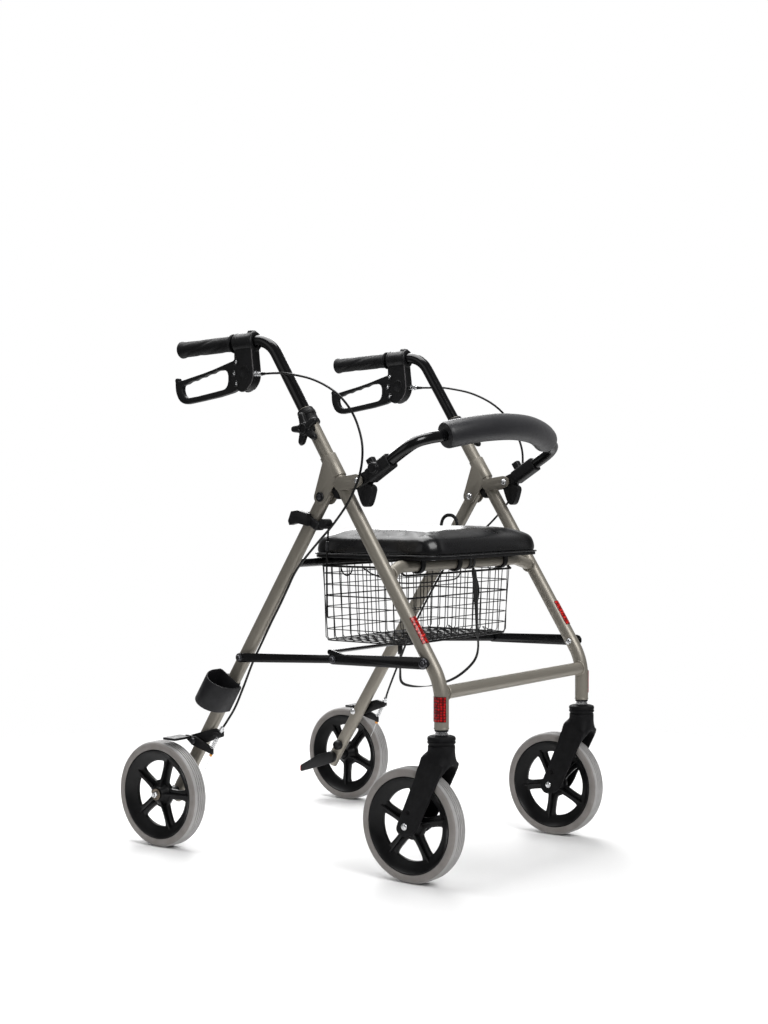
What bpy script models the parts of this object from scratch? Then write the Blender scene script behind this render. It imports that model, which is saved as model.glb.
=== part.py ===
"""Folding four-wheel rollator walker, built piece by piece.

Metres, +Z up.  The walker faces -Y, the user walks behind it at +Y and +X is
the user's left.  The origin is on the floor, in the middle of the walker.
"""
import bpy
import bmesh
from math import atan2, cos, pi, radians, sin, sqrt, tan
from mathutils import Matrix, Vector

# ---------------------------------------------------------------- driving sizes
STEM_Y = -0.335            # caster stem axis, from the middle of the walker
WHEEL_R = 0.100            # all four wheels are 200 mm
WHEEL_W = 0.034
RIM_R = 0.085
FRONT_X = 0.244            # front wheels, stems and front legs
REAR_X = 0.292             # rear wheels stand outside the legs
TRAIL = 0.059
AXLE_REACH = 0.611         # stem axis to rear axle
LEG_R = 0.0127             # 25.4 mm frame tube
LEG_BORE_R = 0.0116
SLOPE = 0.6295             # run of the sloped front leg for each metre of rise
BEND_Z = 0.3476            # height of the bend between stem tube and slope
STEM_TUBE_Z = 0.270
COLLAR_Z = 0.815
REAR_LEG_X = 0.245
HANDLE_R = 0.0110
HANDLE_Z = 0.957
GRIP_DROP = 0.040          # fall of the grip axis for each metre to the rear
GAP = 0.0003               # clearance between touching pieces
SIDES = {"right": -1.0, "left": 1.0}


def at(y, z):
    """Side-view point given from the caster stem axis."""
    return (STEM_Y + y, z)


def on_slope(z):
    """Point of the sloped front leg's axis at height z."""
    return at((z - BEND_Z) * SLOPE, z)


FOLD_PIVOT = at(0.2525, 0.667)
REAR_AXLE = at(AXLE_REACH, WHEEL_R)
LINK_FRONT = at(0.0225, 0.3834)
LINK_MID = at(0.2196, 0.3782)
LINK_REAR = at(0.4425, 0.3672)
SEAT_PIVOT = at(0.123, 0.543)
BACKREST_PIVOT = at(0.170, 0.6955)
LEVER_PIVOT = at(0.4350, 0.8980)
BRAKE_PIVOT = at(0.5560, 0.2020)
KNOB_CENTRE = on_slope(0.789)

# ---------------------------------------------------------------- scene set-up
for old in list(bpy.data.objects):
    bpy.data.objects.remove(old, do_unlink=True)
PARTS = bpy.data.collections.new("rollator_walker")
bpy.context.scene.collection.children.link(PARTS)


def make_material(name, colour, roughness, metallic=0.0):
    mat = bpy.data.materials.new(name)
    mat.use_nodes = True
    shader = mat.node_tree.nodes["Principled BSDF"]
    shader.inputs["Base Color"].default_value = (*colour, 1.0)
    shader.inputs["Roughness"].default_value = roughness
    shader.inputs["Metallic"].default_value = metallic
    return mat


BEIGE = make_material("champagne_paint", (0.36, 0.33, 0.28), 0.32, 0.6)
BLACK_TUBE = make_material("black_tube", (0.012, 0.012, 0.014), 0.18, 0.1)
PLASTIC = make_material("black_plastic", (0.02, 0.02, 0.023), 0.5)
RIM = make_material("rim_plastic", (0.015, 0.015, 0.016), 0.42)
TYRE = make_material("grey_tyre", (0.33, 0.32, 0.32), 0.7)
STEEL = make_material("zinc_steel", (0.7, 0.7, 0.7), 0.28, 1.0)
VINYL = make_material("black_vinyl", (0.008, 0.008, 0.01), 0.22)
FOAM = make_material("grey_foam", (0.035, 0.036, 0.04), 0.55)
WIRE = make_material("black_wire", (0.015, 0.015, 0.015), 0.4)
CABLE = make_material("black_cable", (0.01, 0.01, 0.01), 0.45)


# ---------------------------------------------------------------- basic makers
def add_object(name, mesh, mat):
    obj = bpy.data.objects.new(name, mesh)
    PARTS.objects.link(obj)
    mesh.materials.clear()
    mesh.materials.append(mat)
    return obj


def mesh_from_bmesh(name, bm):
    mesh = bpy.data.meshes.new(name)
    bm.normal_update()
    bm.to_mesh(mesh)
    bm.free()
    mesh.shade_smooth()
    mesh.set_sharp_from_angle(angle=radians(40))
    return mesh


def freeze(obj, mat):
    """Turn a curve, or an object with modifiers, into one plain welded mesh."""
    bpy.context.view_layer.update()
    graph = bpy.context.evaluated_depsgraph_get()
    mesh = bpy.data.meshes.new_from_object(obj.evaluated_get(graph), depsgraph=graph)
    name = obj.name
    matrix = obj.matrix_world.copy()
    bpy.data.objects.remove(obj, do_unlink=True)
    bm = bmesh.new()
    bm.from_mesh(mesh)
    bm.transform(matrix)
    bmesh.ops.remove_doubles(bm, verts=bm.verts, dist=0.00002)
    if bm.calc_volume(signed=True) < 0.0:
        bmesh.ops.reverse_faces(bm, faces=bm.faces)
    return add_object(name, mesh_from_bmesh(name, bm), mat)


def basis(axis):
    """Rotation that takes +Z to the given axis."""
    return Vector((0, 0, 1)).rotation_difference(Vector(axis)).to_matrix().to_4x4()


def cylinder(name, start, end, radius, mat, sides=16):
    start = Vector(start)
    end = Vector(end)
    bm = bmesh.new()
    bmesh.ops.create_cone(bm, cap_ends=True, segments=sides, radius1=radius, radius2=radius,
                          depth=(end - start).length)
    bm.transform(Matrix.Translation((start + end) / 2) @ basis((end - start).normalized()))
    return add_object(name, mesh_from_bmesh(name, bm), mat)


def box(name, low, high, mat, bevel=0.0, matrix=None):
    low = Vector(low)
    high = Vector(high)
    bm = bmesh.new()
    bmesh.ops.create_cube(bm, size=1.0)
    bm.transform(Matrix.Translation((low + high) / 2) @ Matrix.Diagonal((*(high - low), 1.0)))
    if bevel:
        bmesh.ops.bevel(bm, geom=list(bm.edges), offset=bevel, segments=1, affect="EDGES")
    if matrix:
        bm.transform(matrix)
    return add_object(name, mesh_from_bmesh(name, bm), mat)


def rounded_path(points, radius, steps=5):
    """Polyline whose inner corners are replaced by arcs."""
    points = [Vector(p) for p in points]
    path = [points[0]]
    for before, corner, after in zip(points, points[1:], points[2:]):
        toward = (before - corner).normalized()
        away = (after - corner).normalized()
        half = toward.angle(away) / 2
        reach = radius / tan(half)
        centre = corner + (toward + away).normalized() * (radius / sin(half))
        first = (corner + toward * reach - centre).normalized()
        last = (corner + away * reach - centre).normalized()
        for step in range(steps + 1):
            path.append(centre + first.slerp(last, step / steps) * radius)
    path.append(points[-1])
    return path


def spline_path(points, count):
    """Evenly numbered points of a smooth curve through the given ones."""
    pts = [Vector(p) for p in points]
    pts = [2 * pts[0] - pts[1]] + pts + [2 * pts[-1] - pts[-2]]
    spans = len(pts) - 3
    path = []
    for index in range(count):
        place = index / (count - 1) * spans
        span = min(int(place), spans - 1)
        t = place - span
        a, b, c, d = pts[span:span + 4]
        path.append(0.5 * (2 * b + (c - a) * t + (2 * a - 5 * b + 4 * c - d) * t ** 2
                           + (3 * b - 3 * c + d - a) * t ** 3))
    return path


def tube(name, path, radius, mat, resolution=4):
    """Round rod along a path; it has 4 + 2 * resolution sides."""
    curve = bpy.data.curves.new(name, "CURVE")
    curve.dimensions = "3D"
    curve.bevel_depth = radius
    curve.bevel_resolution = resolution
    curve.use_fill_caps = True
    spline = curve.splines.new("POLY")
    spline.points.add(len(path) - 1)
    for point, place in zip(spline.points, path):
        point.co = (*place, 1.0)
    obj = bpy.data.objects.new(name, curve)
    PARTS.objects.link(obj)
    return freeze(obj, mat)


def plate(name, outline, x_low, x_high, mat, holes=()):
    """Flat plate in the side view: outline of (y, z) points, spanning x."""
    curve = bpy.data.curves.new(name, "CURVE")
    curve.dimensions = "2D"
    curve.fill_mode = "BOTH"
    curve.extrude = abs(x_high - x_low) / 2
    for loop in (outline, *holes):
        spline = curve.splines.new("POLY")
        spline.points.add(len(loop) - 1)
        spline.use_cyclic_u = True
        for point, (y, z) in zip(spline.points, loop):
            point.co = (y, z, 0.0, 1.0)
    obj = bpy.data.objects.new(name, curve)
    PARTS.objects.link(obj)
    middle = (x_low + x_high) / 2
    obj.matrix_world = Matrix(((0, 0, 1, middle), (1, 0, 0, 0), (0, 1, 0, 0), (0, 0, 0, 1)))
    return freeze(obj, mat)


def turned(name, profile, centre, axis, mat, steps=24):
    """Closed profile of (radius, height) points turned about an axis."""
    bm = bmesh.new()
    verts = [bm.verts.new((r, 0.0, h)) for r, h in profile]
    closed = profile[0][0] > 0.0001
    pairs = list(zip(verts, verts[1:]))
    if closed:
        pairs.append((verts[-1], verts[0]))
    for first, second in pairs:
        bm.edges.new((first, second))
    obj = add_object(name, mesh_from_bmesh(name, bm), mat)
    screw = obj.modifiers.new("turn", "SCREW")
    screw.axis = "Z"
    screw.steps = steps
    screw.render_steps = steps
    screw.use_merge_vertices = True
    screw.merge_threshold = 0.00002
    obj.matrix_world = Matrix.Translation(centre) @ basis(axis)
    return freeze(obj, mat)


def combine(base, others, operation, mat):
    for other in others:
        change = base.modifiers.new("combine", "BOOLEAN")
        change.operation = operation
        change.solver = "EXACT"
        change.object = other
    result = freeze(base, mat)
    for other in others:
        bpy.data.objects.remove(other, do_unlink=True)
    return result


def fuse(base, others, mat):
    return combine(base, others, "UNION", mat)


def cut(base, others, mat):
    return combine(base, others, "DIFFERENCE", mat)


def arc(centre, radius, start, end, steps):
    """Points of an arc in the side view, angles in degrees."""
    points = []
    for step in range(steps + 1):
        angle = radians(start + (end - start) * step / steps)
        points.append((centre[0] + radius * cos(angle), centre[1] + radius * sin(angle)))
    return points


def bar_outline(first, second, first_radius, second_radius, steps=5):
    """Outline of a flat bar with round ends between two side-view points."""
    heading = atan2(second[1] - first[1], second[0] - first[0]) * 180 / pi
    return (arc(first, first_radius, heading + 90, heading + 270, steps)
            + arc(second, second_radius, heading - 90, heading + 90, steps))


def along(start, end, distance):
    """Side-view point at a distance from start towards end."""
    dy, dz = end[0] - start[0], end[1] - start[1]
    length = sqrt(dy * dy + dz * dz)
    return (start[0] + dy * distance / length, start[1] + dz * distance / length)


def p3(x, point):
    return (x, point[0], point[1])


# ---------------------------------------------------------------- front frame
def front_leg(side, sign):
    top = on_slope(COLLAR_Z + 0.010)
    corners = [p3(sign * FRONT_X, at(0, STEM_TUBE_Z)), p3(sign * FRONT_X, at(0, BEND_Z)),
               p3(sign * FRONT_X, top)]
    path = rounded_path(corners, 0.11, 4)
    leg = tube("front_leg_" + side, path, LEG_R, BEIGE, 6)
    longer = list(path)
    longer[0] = path[0] + Vector((0, 0, -0.01))
    longer[-1] = path[-1] + (path[-1] - path[-2]).normalized() * 0.01
    bore = tube("bore_" + side, longer, LEG_BORE_R, BEIGE, 5)
    cut(leg, [bore], BEIGE)


def leg_bracket(side, sign):
    """Saddle plate round the front leg with two ears for the rear leg and two
    small ears in front for the backrest hinge."""
    plate_t = 0.0025
    inner = 0.0131
    low_z = 0.701
    high_z = 0.739
    shell = tube("leg_bracket_" + side,
                 [p3(sign * FRONT_X, on_slope(low_z)), p3(sign * FRONT_X, on_slope(high_z))],
                 inner + plate_t, BEIGE, 6)
    rear_ear = [on_slope(high_z - 0.003)] + arc(FOLD_PIVOT, 0.0140, 30, -150, 8)
    rear_ear += [at(0.2141, 0.6975), on_slope(low_z + 0.004)]
    root = at(0.2095, 0.6900)
    ears = []
    for face in (-1.0, 1.0):
        low = sign * FRONT_X + face * inner
        high = low + face * plate_t
        ears.append(plate("ear", rear_ear, low, high, BEIGE))
        outline = bar_outline(root, BACKREST_PIVOT, 0.0120, 0.0120)
        ears.append(plate("ear", outline, low + face * 0.0002, high + face * 0.0003, BEIGE))
    whole = fuse(shell, ears, BEIGE)
    start = Vector(p3(sign * FRONT_X, on_slope(0.68)))
    end = Vector(p3(sign * FRONT_X, on_slope(0.76)))
    whole = cut(whole, [cylinder("bore", start, end, LEG_R + 0.0003, BEIGE, 20)], BEIGE)
    whole = cut(whole, [behind_slope(sign * FRONT_X, inner - 0.0011)], BEIGE)
    holes = [cylinder("hole", (sign * 0.20, *FOLD_PIVOT), (sign * 0.29, *FOLD_PIVOT), 0.0034, BEIGE, 12),
             cylinder("hole", (sign * 0.20, *BACKREST_PIVOT), (sign * 0.29, *BACKREST_PIVOT),
                      0.0029, BEIGE, 12)]
    cut(whole, holes, BEIGE)


def behind_slope(x, width):
    """Block behind the sloped leg's axis, which opens the saddle to the rear."""
    lean = Vector((0, SLOPE, 1)).normalized()
    behind = Vector((0, 1, -SLOPE)).normalized()
    middle = Vector((0, *on_slope(0.715)))
    half = 0.040
    centre = middle + behind * (half + 0.004)
    centre.x = x
    matrix = Matrix((
        (1, 0, 0, centre.x),
        (0, behind.y, lean.y, centre.y),
        (0, behind.z, lean.z, centre.z),
        (0, 0, 0, 1)))
    return box("mouth", (-width, -half, -0.08), (width, half, 0.08), BEIGE, 0.0, matrix)


def pivot_bolt(side, sign):
    bolt_r = 0.0030
    inside = sign * (FRONT_X - 0.0131 - 0.0025)
    outside = sign * (FRONT_X + 0.0131 + 0.0025)
    shank = cylinder("pivot_bolt_" + side, (inside, *FOLD_PIVOT), (outside, *FOLD_PIVOT), bolt_r, STEEL, 12)
    head = cylinder("head", (outside + sign * GAP, *FOLD_PIVOT),
                    (outside + sign * 0.0045, *FOLD_PIVOT), 0.0085, STEEL, 16)
    nut = cylinder("nut", (inside - sign * GAP, *FOLD_PIVOT),
                   (inside - sign * 0.0045, *FOLD_PIVOT), 0.0065, STEEL, 12)
    links = [cylinder("neck", (outside - sign * 0.001, *FOLD_PIVOT), (outside + sign * 0.002, *FOLD_PIVOT),
                      bolt_r, STEEL, 12),
             cylinder("neck", (inside + sign * 0.001, *FOLD_PIVOT), (inside - sign * 0.002, *FOLD_PIVOT),
                      bolt_r, STEEL, 12)]
    fuse(shank, links + [head, nut], STEEL)


def cross_tubes():
    reach = FRONT_X - LEG_R - GAP
    low = at(0.0005, 0.3321)
    bar = tube("lower_cross_tube", [p3(-reach, low), p3(reach, low)], 0.0118, BEIGE, 5)
    ends = [cylinder("leg", (s * FRONT_X, low[0], 0.29), (s * FRONT_X, low[0], 0.37), LEG_R + GAP, BEIGE, 24)
            for s in SIDES.values()]
    cut(bar, ends, BEIGE)
    joint = on_slope(0.530)
    turn_x = 0.196
    corners = [(-reach, *joint), (-turn_x, *SEAT_PIVOT), (turn_x, *SEAT_PIVOT), (reach, *joint)]
    bent = tube("seat_cross_tube", rounded_path(corners, 0.035, 3), 0.0110, BEIGE, 4)
    ends = [cylinder("leg", p3(s * FRONT_X, on_slope(0.49)), p3(s * FRONT_X, on_slope(0.57)), LEG_R + GAP, BEIGE, 20)
            for s in SIDES.values()]
    cut(bent, ends, BEIGE)


def height_collar(side, sign):
    """Black plastic sleeve over the leg's top with a boss for the star knob."""
    lower = Vector(p3(sign * FRONT_X, on_slope(COLLAR_Z - 0.019)))
    upper = Vector(p3(sign * FRONT_X, on_slope(COLLAR_Z + 0.014)))
    body = cylinder("height_collar_" + side, lower, upper, 0.0172, PLASTIC, 20)
    boss = cylinder("boss", (sign * (FRONT_X + 0.012), *KNOB_CENTRE),
                    (sign * (FRONT_X + 0.0183), *KNOB_CENTRE), 0.0115, PLASTIC, 16)
    body = fuse(body, [boss], PLASTIC)
    top = Vector(p3(sign * FRONT_X, on_slope(COLLAR_Z + 0.010 + GAP)))
    bores = [cylinder("bore", lower - (upper - lower), top, LEG_R + GAP, PLASTIC, 24),
             cylinder("bore", lower, upper + (upper - lower), HANDLE_R + 0.0005, PLASTIC, 24)]
    cut(body, bores, PLASTIC)


def star_knob(side, sign):
    """Five-lobed knob that clamps the handle tube."""
    outline = []
    for lobe in range(5):
        tip = radians(lobe * 72)
        for offset, radius in ((-36, 0.0125), (-13, 0.0285), (0, 0.0315), (13, 0.0285)):
            angle = tip + radians(offset)
            outline.append((KNOB_CENTRE[0] + radius * cos(angle), KNOB_CENTRE[1] + radius * sin(angle)))
    x0 = FRONT_X + 0.0186
    body = plate("star_knob_" + side, outline, sign * x0, sign * (x0 + 0.0145), PLASTIC)
    hub = cylinder("hub", (sign * x0, *KNOB_CENTRE), (sign * (x0 + 0.0185), *KNOB_CENTRE), 0.0105, PLASTIC, 16)
    fuse(body, [hub], PLASTIC)


# ---------------------------------------------------------------- rear frame
def rear_leg(side, sign):
    """Flat-oval leg, hollow, bored for the fold pivot and the rear axle."""
    start = along(FOLD_PIVOT, REAR_AXLE, -0.010)
    end = along(FOLD_PIVOT, REAR_AXLE, 0.690)
    length = sqrt((end[0] - start[0]) ** 2 + (end[1] - start[1]) ** 2)
    down = Vector((0, end[0] - start[0], end[1] - start[1])) / length
    across = Vector((1, 0, 0))
    fore = down.cross(across)
    matrix = Matrix((
        (across.x, fore.x, down.x, sign * REAR_LEG_X),
        (across.y, fore.y, down.y, start[0]),
        (across.z, fore.z, down.z, start[1]),
        (0, 0, 0, 1)))
    outer = oval_bar("rear_leg_" + side, 0.009, 0.013, length, matrix, 4)
    inner = oval_bar("inner", 0.0076, 0.0116, length + 0.02, matrix @ Matrix.Translation((0, 0, -0.01)), 4)
    cutters = [inner]
    for point, radius in ((FOLD_PIVOT, 0.0034), (REAR_AXLE, 0.0044)):
        cutters.append(cylinder("hole", (sign * 0.20, *point), (sign * 0.29, *point), radius, BEIGE, 12))
    cut(outer, cutters, BEIGE)


def oval_bar(name, half_x, half_y, length, matrix, steps):
    """Bar with a rounded-rectangle section along local +Z."""
    corner = min(half_x, half_y) * 0.85
    ring = []
    for quadrant, (sx, sy) in enumerate(((1, 1), (-1, 1), (-1, -1), (1, -1))):
        centre = (sx * (half_x - corner), sy * (half_y - corner))
        ring += arc(centre, corner, quadrant * 90, quadrant * 90 + 90, steps)
    bm = bmesh.new()
    low = [bm.verts.new((x, y, 0.0)) for x, y in ring]
    high = [bm.verts.new((x, y, length)) for x, y in ring]
    count = len(ring)
    for index in range(count):
        following = (index + 1) % count
        bm.faces.new((low[index], low[following], high[following], high[index]))
    bm.faces.new(list(reversed(low)))
    bm.faces.new(high)
    bm.transform(matrix)
    bmesh.ops.recalc_face_normals(bm, faces=bm.faces)
    return add_object(name, mesh_from_bmesh(name, bm), BEIGE)


def rear_rail():
    place = at(0.3292, 0.5455)
    reach = REAR_LEG_X - 0.009 - GAP
    tube("rear_rail", [(-reach, *place), (reach, *place)], 0.0080, BLACK_TUBE, 4)


def curb_lever(side, sign):
    """Foot lever for kerbs on the inner side of the leg's end."""
    foot = along(FOLD_PIVOT, REAR_AXLE, 0.672)
    tip = at(0.690, 0.066)
    high = sign * (REAR_LEG_X - 0.009 - GAP)
    low = high - sign * 0.013
    heel = (foot[0] + 0.012, foot[1] - 0.006)
    outline = arc(foot, 0.0125, 60, 240, 6) + [(heel[0], heel[1] - 0.012), (tip[0], tip[1] - 0.006),
                                             (tip[0], tip[1] + 0.009), (foot[0] + 0.030, foot[1] + 0.003)]
    plate("curb_lever_" + side, outline, low, high, PLASTIC)


def brake_bracket(side, sign):
    """Black bracket on the leg that carries the brake arm and the cable stop."""
    leg_face = sign * (REAR_LEG_X + 0.009 + GAP)
    outer = leg_face + sign * 0.006
    stop = at(0.4870, 0.2190)
    outline = [(BRAKE_PIVOT[0] + 0.010, BRAKE_PIVOT[1] + 0.010), (BRAKE_PIVOT[0] + 0.010, BRAKE_PIVOT[1] - 0.008),
               (BRAKE_PIVOT[0] - 0.008, BRAKE_PIVOT[1] - 0.010), (stop[0] + 0.012, stop[1] - 0.008),
               (stop[0], stop[1] - 0.004), (stop[0], stop[1] + 0.006), (stop[0] + 0.020, stop[1] + 0.010)]
    body = plate("brake_bracket_" + side, outline, leg_face, outer, PLASTIC)
    shelf = box("shelf", (min(leg_face, outer + sign * 0.008), stop[0] + 0.001, stop[1] - 0.003),
                (max(leg_face, outer + sign * 0.008), stop[0] + 0.016, stop[1] + 0.004), PLASTIC, 0.0008)
    fuse(body, [shelf], PLASTIC)


def brake_arm(side, sign):
    """Arm that the cable pulls up in front, so that its pad meets the tyre."""
    inner = sign * (REAR_LEG_X + 0.0156)
    outer = inner + sign * 0.005
    nose = at(0.5080, 0.1860)
    heel = at(0.5640, 0.2100)
    outline = [(nose[0], nose[1] - 0.006), (nose[0], nose[1] + 0.006),
               (BRAKE_PIVOT[0] - 0.006, BRAKE_PIVOT[1] + 0.008), (heel[0] + 0.012, heel[1] + 0.002),
               (heel[0] + 0.012, heel[1] - 0.004), (BRAKE_PIVOT[0] + 0.004, BRAKE_PIVOT[1] - 0.008)]
    arm = plate("brake_arm_" + side, outline, inner, outer, PLASTIC)
    low_x = min(inner, sign * (REAR_X + 0.015))
    high_x = max(inner, sign * (REAR_X + 0.015))
    pad = box("pad", (low_x, heel[0], 0.2055), (high_x, heel[0] + 0.032, 0.2100), PLASTIC, 0.001)
    fuse(arm, [pad], PLASTIC)


def rear_axle(side, sign):
    inside = sign * (REAR_LEG_X - 0.009)
    outside = sign * (REAR_X + WHEEL_W / 2)
    axle = cylinder("rear_axle_" + side, (inside + sign * 0.0003, *REAR_AXLE),
                    (outside + sign * 0.006, *REAR_AXLE), 0.0040, STEEL, 12)
    spacer = cylinder("spacer", (sign * (REAR_LEG_X + 0.009 + GAP), *REAR_AXLE),
                      (sign * (REAR_X - WHEEL_W / 2 + 0.0005), *REAR_AXLE), 0.0085, STEEL, 12)
    nut = cylinder("nut", (outside + sign * 0.0015, *REAR_AXLE), (outside + sign * 0.0100, *REAR_AXLE),
                   0.0078, STEEL, 6)
    fuse(axle, [spacer, nut], STEEL)


def cane_cup():
    """D-shaped cup on the right rear leg that holds the foot of a cane."""
    low = Vector((0, *along(FOLD_PIVOT, REAR_AXLE, 0.458)))
    top = Vector((0, *along(FOLD_PIVOT, REAR_AXLE, 0.402)))
    up = (top - low).normalized()
    fore = Vector((0, up.z, -up.y))
    flat_x = REAR_LEG_X + 0.009 + GAP
    depth, half = 0.0615, 0.0315

    def section(shrink):
        points = [(flat_x + shrink, half - shrink), (flat_x + shrink, -half + shrink)]
        for step in range(9):
            angle = radians(-90 + 180 * step / 8)
            points.append((flat_x + 0.020 + (depth - 0.020 - shrink) * cos(angle), (half - shrink) * sin(angle)))
        return points

    def wall(shrink, base, height):
        bm = bmesh.new()
        rings = []
        for distance in (base, height):
            ring = []
            for x, along_fore in section(shrink):
                place = low + up * distance + fore * along_fore
                ring.append(bm.verts.new((-x, place.y, place.z)))
            rings.append(ring)
        count = len(rings[0])
        for index in range(count):
            following = (index + 1) % count
            bm.faces.new((rings[0][index], rings[0][following], rings[1][following], rings[1][index]))
        bm.faces.new(rings[0])
        bm.faces.new(rings[1])
        bmesh.ops.recalc_face_normals(bm, faces=bm.faces)
        return mesh_from_bmesh("cup", bm)

    height = (top - low).length
    outer = add_object("cane_cup", wall(0.0, 0.0, height), PLASTIC)
    inner = add_object("hollow", wall(0.0028, 0.003, height + 0.01), PLASTIC)
    cut(outer, [inner], PLASTIC)


def cane_clip():
    """Spring clip round the upper right rear leg that holds a cane upright."""
    middle = Vector((0, *along(FOLD_PIVOT, REAR_AXLE, 0.050)))
    down = Vector((0, REAR_AXLE[0] - FOLD_PIVOT[0], REAR_AXLE[1] - FOLD_PIVOT[1])).normalized()
    fore = Vector((0, down.z, -down.y))
    centre_x = -REAR_LEG_X
    matrix = Matrix((
        (1, 0, 0, centre_x),
        (0, fore.y, down.y, middle.y),
        (0, fore.z, down.z, middle.z),
        (0, 0, 0, 1)))
    band = box("cane_clip", (-0.0135, -0.0185, -0.008), (0.0115, 0.0230, 0.009), PLASTIC, 0.003, matrix)
    hollow = box("hollow", (-0.0094, -0.0134, -0.03), (0.0094, 0.0134, 0.03), PLASTIC, 0.0, matrix)
    jaw = jaw_outline(middle)
    arm = plate("jaw", jaw, -REAR_LEG_X - 0.0105, -REAR_LEG_X - 0.024, PLASTIC)
    body = fuse(band, [arm], PLASTIC)
    cut(body, [hollow], PLASTIC)


def jaw_outline(middle):
    """Curved jaw behind the leg, open to the rear."""
    y, z = middle.y, middle.z
    return [(y - 0.004, z - 0.010), (y + 0.020, z - 0.005), (y + 0.037, z - 0.009), (y + 0.040, z - 0.001),
            (y + 0.033, z + 0.016), (y + 0.018, z + 0.018), (y - 0.004, z + 0.012)]


# ---------------------------------------------------------------- wheels
REAR_HUB_HALF = 0.0160     # half of each hub's length along its axle
FRONT_HUB_HALF = 0.0200
HUB_R = 0.0180
HUB_BORE_R = 0.0044
SPOKE_HALF = 0.0075        # half of a spoke's thickness along the axle
SPOKE_ROOT = 0.0065        # half of its width at the hub and at the rim
SPOKE_TIP = 0.0095


def wheel_profile():
    half = WHEEL_W / 2
    shoulder = 0.006
    points = [(RIM_R + GAP, half), (RIM_R + GAP, -half)]
    points += [(WHEEL_R - shoulder, -half), (WHEEL_R, -half + 0.008)]
    points += [(WHEEL_R, half - 0.008), (WHEEL_R - shoulder, half)]
    return points


def wheel(name, centre, hub_half):
    """Tyre, and a five-spoke hub with a bored barrel."""
    turned("tyre_" + name, wheel_profile(), centre, (1, 0, 0), TYRE, 28)
    half = WHEEL_W / 2
    rim = turned("hub_" + name, [(RIM_R, half - 0.003), (0.0650, half - 0.008), (0.0620, 0.0),
                                 (0.0650, -half + 0.008), (RIM_R, -half + 0.003)],
                 centre, (1, 0, 0), RIM, 28)
    barrel = cylinder("barrel", (centre[0] - hub_half, centre[1], centre[2]),
                      (centre[0] + hub_half, centre[1], centre[2]), HUB_R, RIM, 16)
    pieces = [barrel]
    for spoke in range(5):
        angle = radians(18 + 72 * spoke)
        start = (centre[1] + 0.010 * cos(angle), centre[2] + 0.010 * sin(angle))
        end = (centre[1] + 0.0665 * cos(angle), centre[2] + 0.0665 * sin(angle))
        aside = (-sin(angle), cos(angle))
        outline = [(start[0] + aside[0] * SPOKE_ROOT, start[1] + aside[1] * SPOKE_ROOT),
                   (start[0] - aside[0] * SPOKE_ROOT, start[1] - aside[1] * SPOKE_ROOT),
                   (end[0] - aside[0] * SPOKE_TIP, end[1] - aside[1] * SPOKE_TIP),
                   (end[0] + aside[0] * SPOKE_TIP, end[1] + aside[1] * SPOKE_TIP)]
        pieces.append(plate("spoke", outline, centre[0] - SPOKE_HALF, centre[0] + SPOKE_HALF, RIM))
    hub = fuse(rim, pieces, RIM)
    bore = cylinder("bore", (centre[0] - WHEEL_W, centre[1], centre[2]),
                    (centre[0] + WHEEL_W, centre[1], centre[2]), HUB_BORE_R, RIM, 16)
    cut(hub, [bore], RIM)


def fork(side, sign):
    """Caster fork: round neck, crown and two blades that trail to the axle."""
    x = sign * FRONT_X
    centre = at(0, 0)[0]
    axle = at(TRAIL, WHEEL_R)
    neck = cylinder("fork_" + side, (x, centre, 0.205), (x, centre, 0.2597), 0.0225, PLASTIC, 20)
    crown = [(centre - 0.021, 0.232), (centre - 0.024, 0.212), (centre - 0.020, 0.204),
             (centre + 0.036, 0.204), (centre + 0.036, 0.216), (centre + 0.021, 0.235)]
    pieces = [plate("crown", crown, x - 0.0270, x + 0.0270, PLASTIC)]
    for face in (-1.0, 1.0):
        outline = [(centre - 0.025, 0.211), (centre - 0.009, 0.184)] + arc(axle, 0.0185, 225, 385, 8)
        outline += [(centre + 0.038, 0.192), (centre + 0.030, 0.2150)]
        pieces.append(plate("blade", outline, x + face * 0.0212, x + face * 0.0270, PLASTIC))
    body = fuse(neck, pieces, PLASTIC)
    holes = [cylinder("hole", (x - 0.04, *axle), (x + 0.04, *axle), 0.0044, PLASTIC, 16),
             cylinder("hole", (x, centre, 0.212), (x, centre, 0.27), 0.0054, PLASTIC, 16)]
    cut(body, holes, PLASTIC)


def front_axle(side, sign):
    x = sign * FRONT_X
    axle = at(TRAIL, WHEEL_R)
    bolt = cylinder("front_axle_" + side, (x - 0.028, *axle), (x + 0.028, *axle), 0.0040, STEEL, 12)
    ends = [cylinder("end", (x - 0.0273, *axle), (x - 0.0312, *axle), 0.0072, STEEL, 12),
            cylinder("end", (x + 0.0273, *axle), (x + 0.0312, *axle), 0.0072, STEEL, 12)]
    fuse(bolt, ends, STEEL)


def caster_stem(side, sign):
    """Stem bolt: pressed in the leg above, the fork turns on it below."""
    x = sign * FRONT_X
    y = at(0, 0)[0]
    bolt = cylinder("caster_stem_" + side, (x, y, 0.214), (x, y, 0.300), 0.0050, STEEL, 12)
    washer = cylinder("washer", (x, y, 0.2603), (x, y, 0.2670), 0.0105, STEEL, 16)
    plug = cylinder("plug", (x, y, 0.2665), (x, y, 0.2695), 0.0122, STEEL, 16)
    core = cylinder("core", (x, y, 0.2690), (x, y, 0.2950), 0.0110, STEEL, 16)
    fuse(bolt, [washer, plug, core], STEEL)


# ---------------------------------------------------------------- side links
LINK_T = 0.003
REAR_LINK_X = 0.2600
FRONT_LINK_X = 0.2634
ROD_R = 0.0034
ROD_PLACE = (LINK_MID[0] + 0.0060, LINK_MID[1] + 0.0125)


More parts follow.
